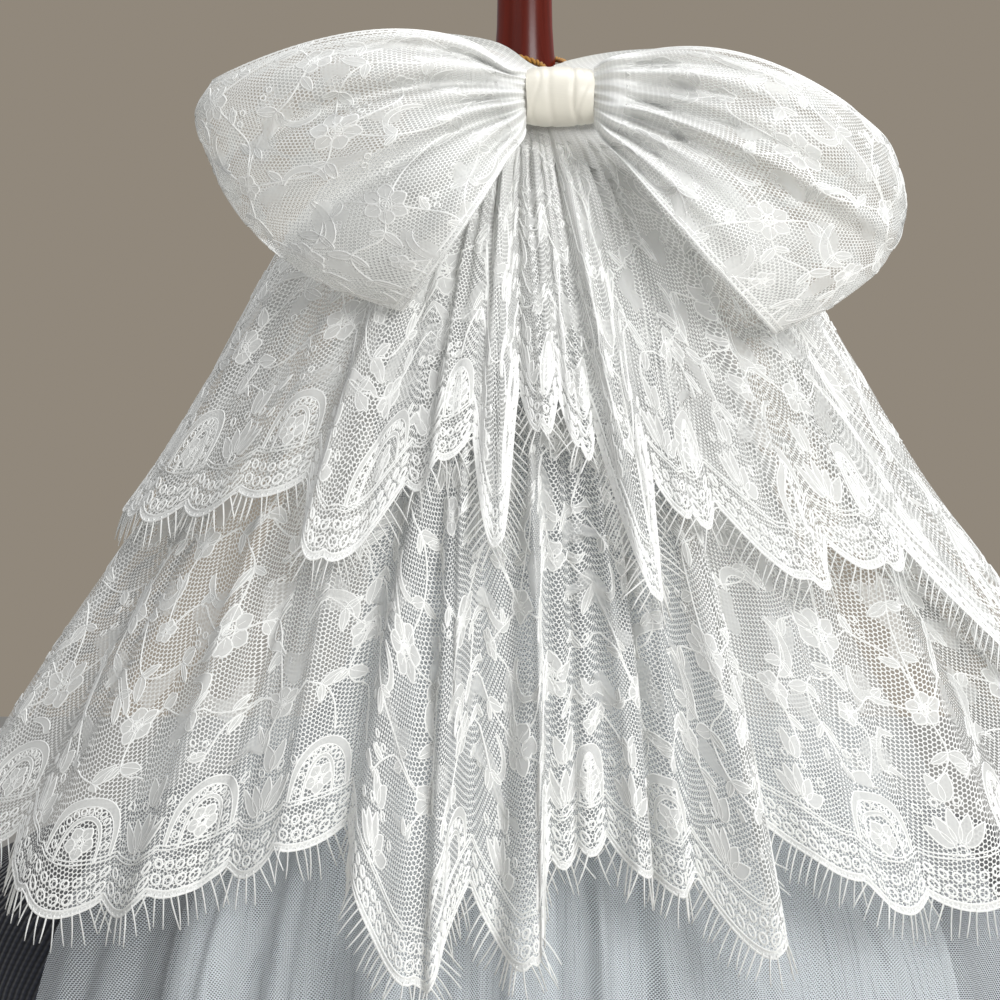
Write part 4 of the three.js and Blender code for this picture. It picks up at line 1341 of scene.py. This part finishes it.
class VEIL_OT_knot(bpy.types.Operator):
    """Builds the satin wrap round the bow's middle"""

    bl_idname = "veil.knot"
    bl_label = "Knot"

    def execute(self, context):
        wide = (KNOT_HIGH.x - KNOT_LOW.x) / 2 / MM
        tall, deep = (KNOT_HIGH.z - KNOT_LOW.z) / 2 / MM, (KNOT_HIGH.y - KNOT_LOW.y) / 2 / MM
        points = []
        # the wrap's section along X, out and back again inside for its thickness
        run = np.concatenate([np.linspace(-1, 1, 41), np.linspace(1, -1, 15)])
        for index, t in enumerate(run):
            inner = index > 40
            for turn in np.linspace(0, TAU, 72, endpoint=False):
                size = 1 - 0.12 * abs(t) ** 3.2
                for place, breadth, depth in WRAP_FOLDS:
                    at = place + 0.09 * math.sin(turn * 2 + place * 9) + 0.05 * math.sin(3 * turn)
                    size -= depth * math.exp(-(((t - at) / breadth) ** 2))
                size += 0.012 * math.sin(2 * turn + 3 * t) - (0.14 if inner else 0)
                lip = 1 + 0.02 * math.sin(3 * turn)
                points.append((
                    KNOT.x + t * (wide - 0.15) * lip * (1 if not inner else 0.98),
                    KNOT.y - (deep - 0.2) * size * math.cos(turn),
                    KNOT.z + (tall - 0.1) * size * math.sin(turn),
                ))
        mesh = smooth_mesh("satin_knot", points, 72, True)
        link("satin_knot", mesh, [shared()["satin"]], ["bow_knot"])
        return {"FINISHED"}


BINDING_INNER, BINDING_OUTER, BINDING_TOP, BINDING_FOOT, BINDING_ARC = 28.3, 36.2, 2.0, -5.4, 117
PLY_RADIUS, PLY_OFFSET, TWIST_LENGTH = 0.5, 0.42, 3.4  # the twine's two plies
# the twine's route: from behind the knot, round the finial's foot, and back behind the knot
TWINE = (
    (8, -37.7, -2), (8.4, -37.7, 2.9), (10, -31, 4.8), (12, -18, 8.5), (12, -6, 12), (9.7, 4.4, 14),
    (3.1, 9.5, 15.5), (-4.6, 8.7, 16), (-9.7, 1.5, 15.8), (-7.6, -6.4, 15), (-1.9, -10.1, 13.8),
    (4.5, -11.8, 11.5), (6.4, -21, 7.6), (4.8, -31, 4.8), (4, -37.7, 2.9), (4, -37.7, -2),
)


class VEIL_OT_head(bpy.types.Operator):
    """Builds the tape that binds the head, its stitches, and the twine that holds it"""

    bl_idname = "veil.head"
    bl_label = "Bound head and twine"

    def execute(self, context):
        made = shared()
        mid, half = (BINDING_INNER + BINDING_OUTER) / 2, (BINDING_OUTER - BINDING_INNER) / 2
        arch = ring(1, 16)[:9]
        outside = (arch * half + (mid, BINDING_TOP - half)).tolist()
        inside = (arch[::-1] * (half - 1) + (mid, BINDING_TOP - half)).tolist()
        section = [(BINDING_OUTER, BINDING_FOOT)] + outside + [(BINDING_INNER, BINDING_FOOT)]
        section += [(BINDING_INNER + 1, BINDING_FOOT)] + inside + [(BINDING_OUTER - 1, BINDING_FOOT)]
        points = []
        for angle in np.radians(np.linspace(-BINDING_ARC, BINDING_ARC, 145)):
            swell = 0.25 * math.sin(angle * 31) + 0.15 * math.sin(angle * 17 + 1)
            for radius, z in section:
                out = radius + (swell if radius > mid else -swell) * 0.4
                points.append((VEIL_CENTRE_X + out * math.sin(angle), -out * math.cos(angle), KNOT.z + z))
        mesh = smooth_mesh("head_tape", points, len(section), False, True)
        link("head_tape", mesh, [made["band"]], ["head_binding"])
        stitches = []
        for angle in np.radians(np.arange(-BINDING_ARC + 3, BINDING_ARC - 3, 5.2)):
            reach = np.array([-0.022, -0.008, 0.008, 0.022]) + angle
            lift = np.array([0.02, 0.32, 0.32, 0.02]) + BINDING_OUTER
            z = np.full(4, KNOT.z + BINDING_FOOT + 1.4)
            path = np.stack([VEIL_CENTRE_X + lift * np.sin(reach), -lift * np.cos(reach), z], -1) * MM
            stitches.append((path, np.ones(4)))
        link("head_stitches", strand_mesh("head_stitches", stitches, 0.16), [made["cord"]])
        route = smooth_line(TWINE, 16) + (0, 0, KNOT.z)
        along = unit(np.gradient(route, axis=0))
        side = unit(np.cross(along, (0.2, 0.1, 1.0)))
        other = np.cross(along, side)
        length = np.concatenate([[0], np.cumsum(np.linalg.norm(np.diff(route, axis=0), axis=1))])
        plies = []
        for phase in (0, math.pi):
            twist = (length / TWIST_LENGTH * TAU + phase)[:, None]
            path = route + PLY_OFFSET * (side * np.cos(twist) + other * np.sin(twist))
            plies.append((path * MM, np.ones(len(path))))
        link("twine", strand_mesh("twine", plies, PLY_RADIUS, 8), [made["twine"]], ["holding_cord"])
        return {"FINISHED"}


BODY = table(
    "z wide near far square",
    (104, 160, 100, 96, 2.1),
    (112, 167, 106, 100, 2.1),
    (190, 170, 114, 102, 2.1),
    (250, 150, 98, 94, 2.1),
    (310, 124, 78, 84, 2.1),
    (380, 136, 84, 100, 2.2),
    (470, 156, 92, 124, 2.3),
    (550, 164, 92, 106, 2.4),
    (600, 171, 80, 84, 2.4),
    (624, 170, 68, 70, 2.3),
    (643, 153, 60, 60, 2.1),
    (655, 116, 54, 54, 2),
    (670, 78, 51, 51, 2),
    (690, 56, 48, 48, 2),
    (720, 46, 45, 45, 2),
    (808, 43, 43, 43, 2),
)
BODY_FOOT, BODY_TOP, BODY_STEPS, ROUND_STEPS = 104.0, 808.0, 128, 72
# turned pieces: rows of radius and height
TURNED = {
    "base": (
        (0, 0), (143, 0), (145, 2), (145, 12), (143.6, 14.8), (141, 17), (136, 18.6), (131, 20), (121, 24),
        (0, 24),
    ),
    "post": (
        (0, 24), (34, 24), (36, 29), (34, 34), (27, 36.4), (22, 40), (18.6, 44.6), (17, 50), (15.8, 58),
        (16, 66), (17.6, 73.4), (20, 80), (27, 86), (30, 92), (30, 104), (0, 104),
    ),
    "neck_cap": (
        (0, 808), (44, 808), (45, 810), (45, 817), (44, 819.1), (42, 820), (0, 820),
    ),
    "finial": (
        (0, 820), (23, 820), (24.6, 821.2), (25, 823), (24.8, 825.4), (24, 827), (21, 828.8), (19, 830),
        (18.2, 832), (18, 834), (16.4, 838), (15, 842), (13.3, 848), (12, 854), (10.9, 860), (10, 866),
        (9.2, 871), (8.6, 876), (8.15, 883), (8, 890), (8, 938), (9.2, 941.6), (11, 944), (12, 947),
        (13.2, 949.4), (15, 952), (16.5, 956), (17, 961), (16.5, 966), (15, 970), (12.9, 973.6), (10, 976),
        (7, 977.8), (4, 979), (0, 979.5),
    ),
}


class VEIL_OT_form(bpy.types.Operator):
    """Builds the dress form: its covered body, its base, post, cap and finial"""

    bl_idname = "veil.form"
    bl_label = "Dress form"

    def execute(self, context):
        made = shared()
        for node, profile in TURNED.items():
            points = [(x, y, z) for r, z in profile for x, y in ring(r, ROUND_STEPS)]
            mesh = smooth_mesh(f"turned_{node}", points, ROUND_STEPS, False)
            look = made["board" if node in ("base", "neck_cap") else "wood"]
            link(f"turned_{node}", mesh, [look], [node])
        read = {name: column(BODY, "z", name) for name in ("wide", "near", "far", "square")}
        points = []
        for z in np.concatenate([[BODY_FOOT], np.linspace(BODY_FOOT + 1.5, BODY_TOP, 110)]):
            power = 2 / float(read["square"](z))
            tuck = 0.988 if z == BODY_FOOT else 1.0  # the cover's lower edge is turned in
            for c, s in ring(1, BODY_STEPS):
                y = read["near"](z) if s < 0 else read["far"](z)
                points.append((
                    tuck * float(read["wide"](z)) * math.copysign(abs(c) ** power, c),
                    tuck * float(y) * math.copysign(abs(s) ** power, s),
                    float(z),
                ))
        mesh = smooth_mesh("covered_body", points, BODY_STEPS, False, True)
        link("covered_body", mesh, [made["cover"]], ["form_body"])
        return {"FINISHED"}


# Soft lights round the object: place in metres, size in metres and power in watts; all aim at AIM.
LIGHTS = (
    ("key", (1.35, -2.15, 1.8), 1.2, 56),
    ("fill", (-1.4, -2.3, 1.3), 1.8, 5),
    ("top", (0.3, 0.3, 2.6), 1.2, 26),
)
AIM = Vector((0, 0, 0.75))
ROOM_LIGHT, WALL = (0.95, 0.97, 1.0, 1), (0.283, 0.246, 0.2, 1)
CAMERA_TARGET = (-7.2, -52.0, -112.6)  # in millimetres, its height from the knot's middle
CAMERA_FAR, CAMERA_TILT, LENS = 1.0, 3, 128.6


class VEIL_OT_stage(bpy.types.Operator):
    """Adds the floor, the backdrop, the lights and the camera"""

    bl_idname = "veil.stage"
    bl_label = "Stage"

    def execute(self, context):
        scene = context.scene
        floor, _, _ = surface("pale floor", (0.62, 0.59, 0.54), 0.9)
        bm = bmesh.new()
        bmesh.ops.create_grid(bm, x_segments=1, y_segments=1, size=6)
        mesh = bpy.data.meshes.new("floor")
        bm.to_mesh(mesh)
        bm.free()
        mesh.materials.append(floor)
        plane = bpy.data.objects.new("floor", mesh)
        scene.collection.objects.link(plane)
        world = bpy.data.worlds.new("soft room")
        world.use_nodes = True
        w = Wires(world.node_tree)
        room = world.node_tree.nodes["Background"]
        room.inputs["Color"].default_value = ROOM_LIGHT
        room.inputs["Strength"].default_value = 0.34
        wall = w.node("ShaderNodeBackground")
        wall.inputs["Color"].default_value = WALL
        seen = w.node("ShaderNodeMixShader")
        w.put(w.node("ShaderNodeLightPath").outputs["Is Camera Ray"], seen.inputs[0])
        w.put(room.outputs[0], seen.inputs[1])
        w.put(wall.outputs[0], seen.inputs[2])
        w.put(seen.outputs[0], world.node_tree.nodes["World Output"].inputs[0])
        # the room's light is even, so paths that leave the scene find it without being aimed at it
        world.cycles.sampling_method = "NONE"
        scene.world = world
        for name, place, size, power in LIGHTS:
            light = bpy.data.lights.new(name, "AREA")
            light.size, light.energy = size, power
            lamp = bpy.data.objects.new(name, light)
            lamp.location = place
            lamp.rotation_euler = (AIM - lamp.location).to_track_quat("-Z", "Y").to_euler()
            scene.collection.objects.link(lamp)
        camera = bpy.data.cameras.new("camera")
        camera.sensor_width, camera.lens = 36, LENS
        eye = bpy.data.objects.new("camera", camera)
        tilt = math.radians(CAMERA_TILT)
        x, y, z = CAMERA_TARGET
        target = Vector((x, y, KNOT.z + z)) * MM
        eye.location = target + CAMERA_FAR * Vector((0, -math.cos(tilt), math.sin(tilt)))
        eye.rotation_euler = (target - eye.location).to_track_quat("-Z", "Y").to_euler()
        scene.collection.objects.link(eye)
        scene.camera = eye
        scene.view_settings.view_transform = "Standard"
        return {"FINISHED"}


class VEIL_PT_panel(bpy.types.Panel):
    bl_label = "Veil"
    bl_space_type = "VIEW_3D"
    bl_region_type = "UI"
    bl_category = "Veil"

    def draw(self, context):
        for group in (context.scene.veil_sizes, context.scene.veil_finish):
            for name in group.__annotations__:
                self.layout.prop(group, name)
        for operator in OPERATORS:
            self.layout.operator(operator.bl_idname)


OPERATORS = (
    VEIL_OT_lace_tiers,
    VEIL_OT_tulle,
    VEIL_OT_bow,
    VEIL_OT_knot,
    VEIL_OT_head,
    VEIL_OT_form,
    VEIL_OT_stage,
)
CLASSES = (VEIL_PG_sizes, VEIL_PG_finish, *OPERATORS, VEIL_PT_panel)


def register():
    for cls in CLASSES:
        bpy.utils.register_class(cls)
    bpy.types.Scene.veil_sizes = bpy.props.PointerProperty(type=VEIL_PG_sizes)
    bpy.types.Scene.veil_finish = bpy.props.PointerProperty(type=VEIL_PG_finish)


def unregister():
    del bpy.types.Scene.veil_sizes
    del bpy.types.Scene.veil_finish
    for cls in reversed(CLASSES):
        bpy.utils.unregister_class(cls)


def main():
    """Builds everything in order."""
    register()
    for operator in OPERATORS:
        group, name = operator.bl_idname.split(".")
        getattr(getattr(bpy.ops, group), name)()


if __name__ == "__main__":
    main()
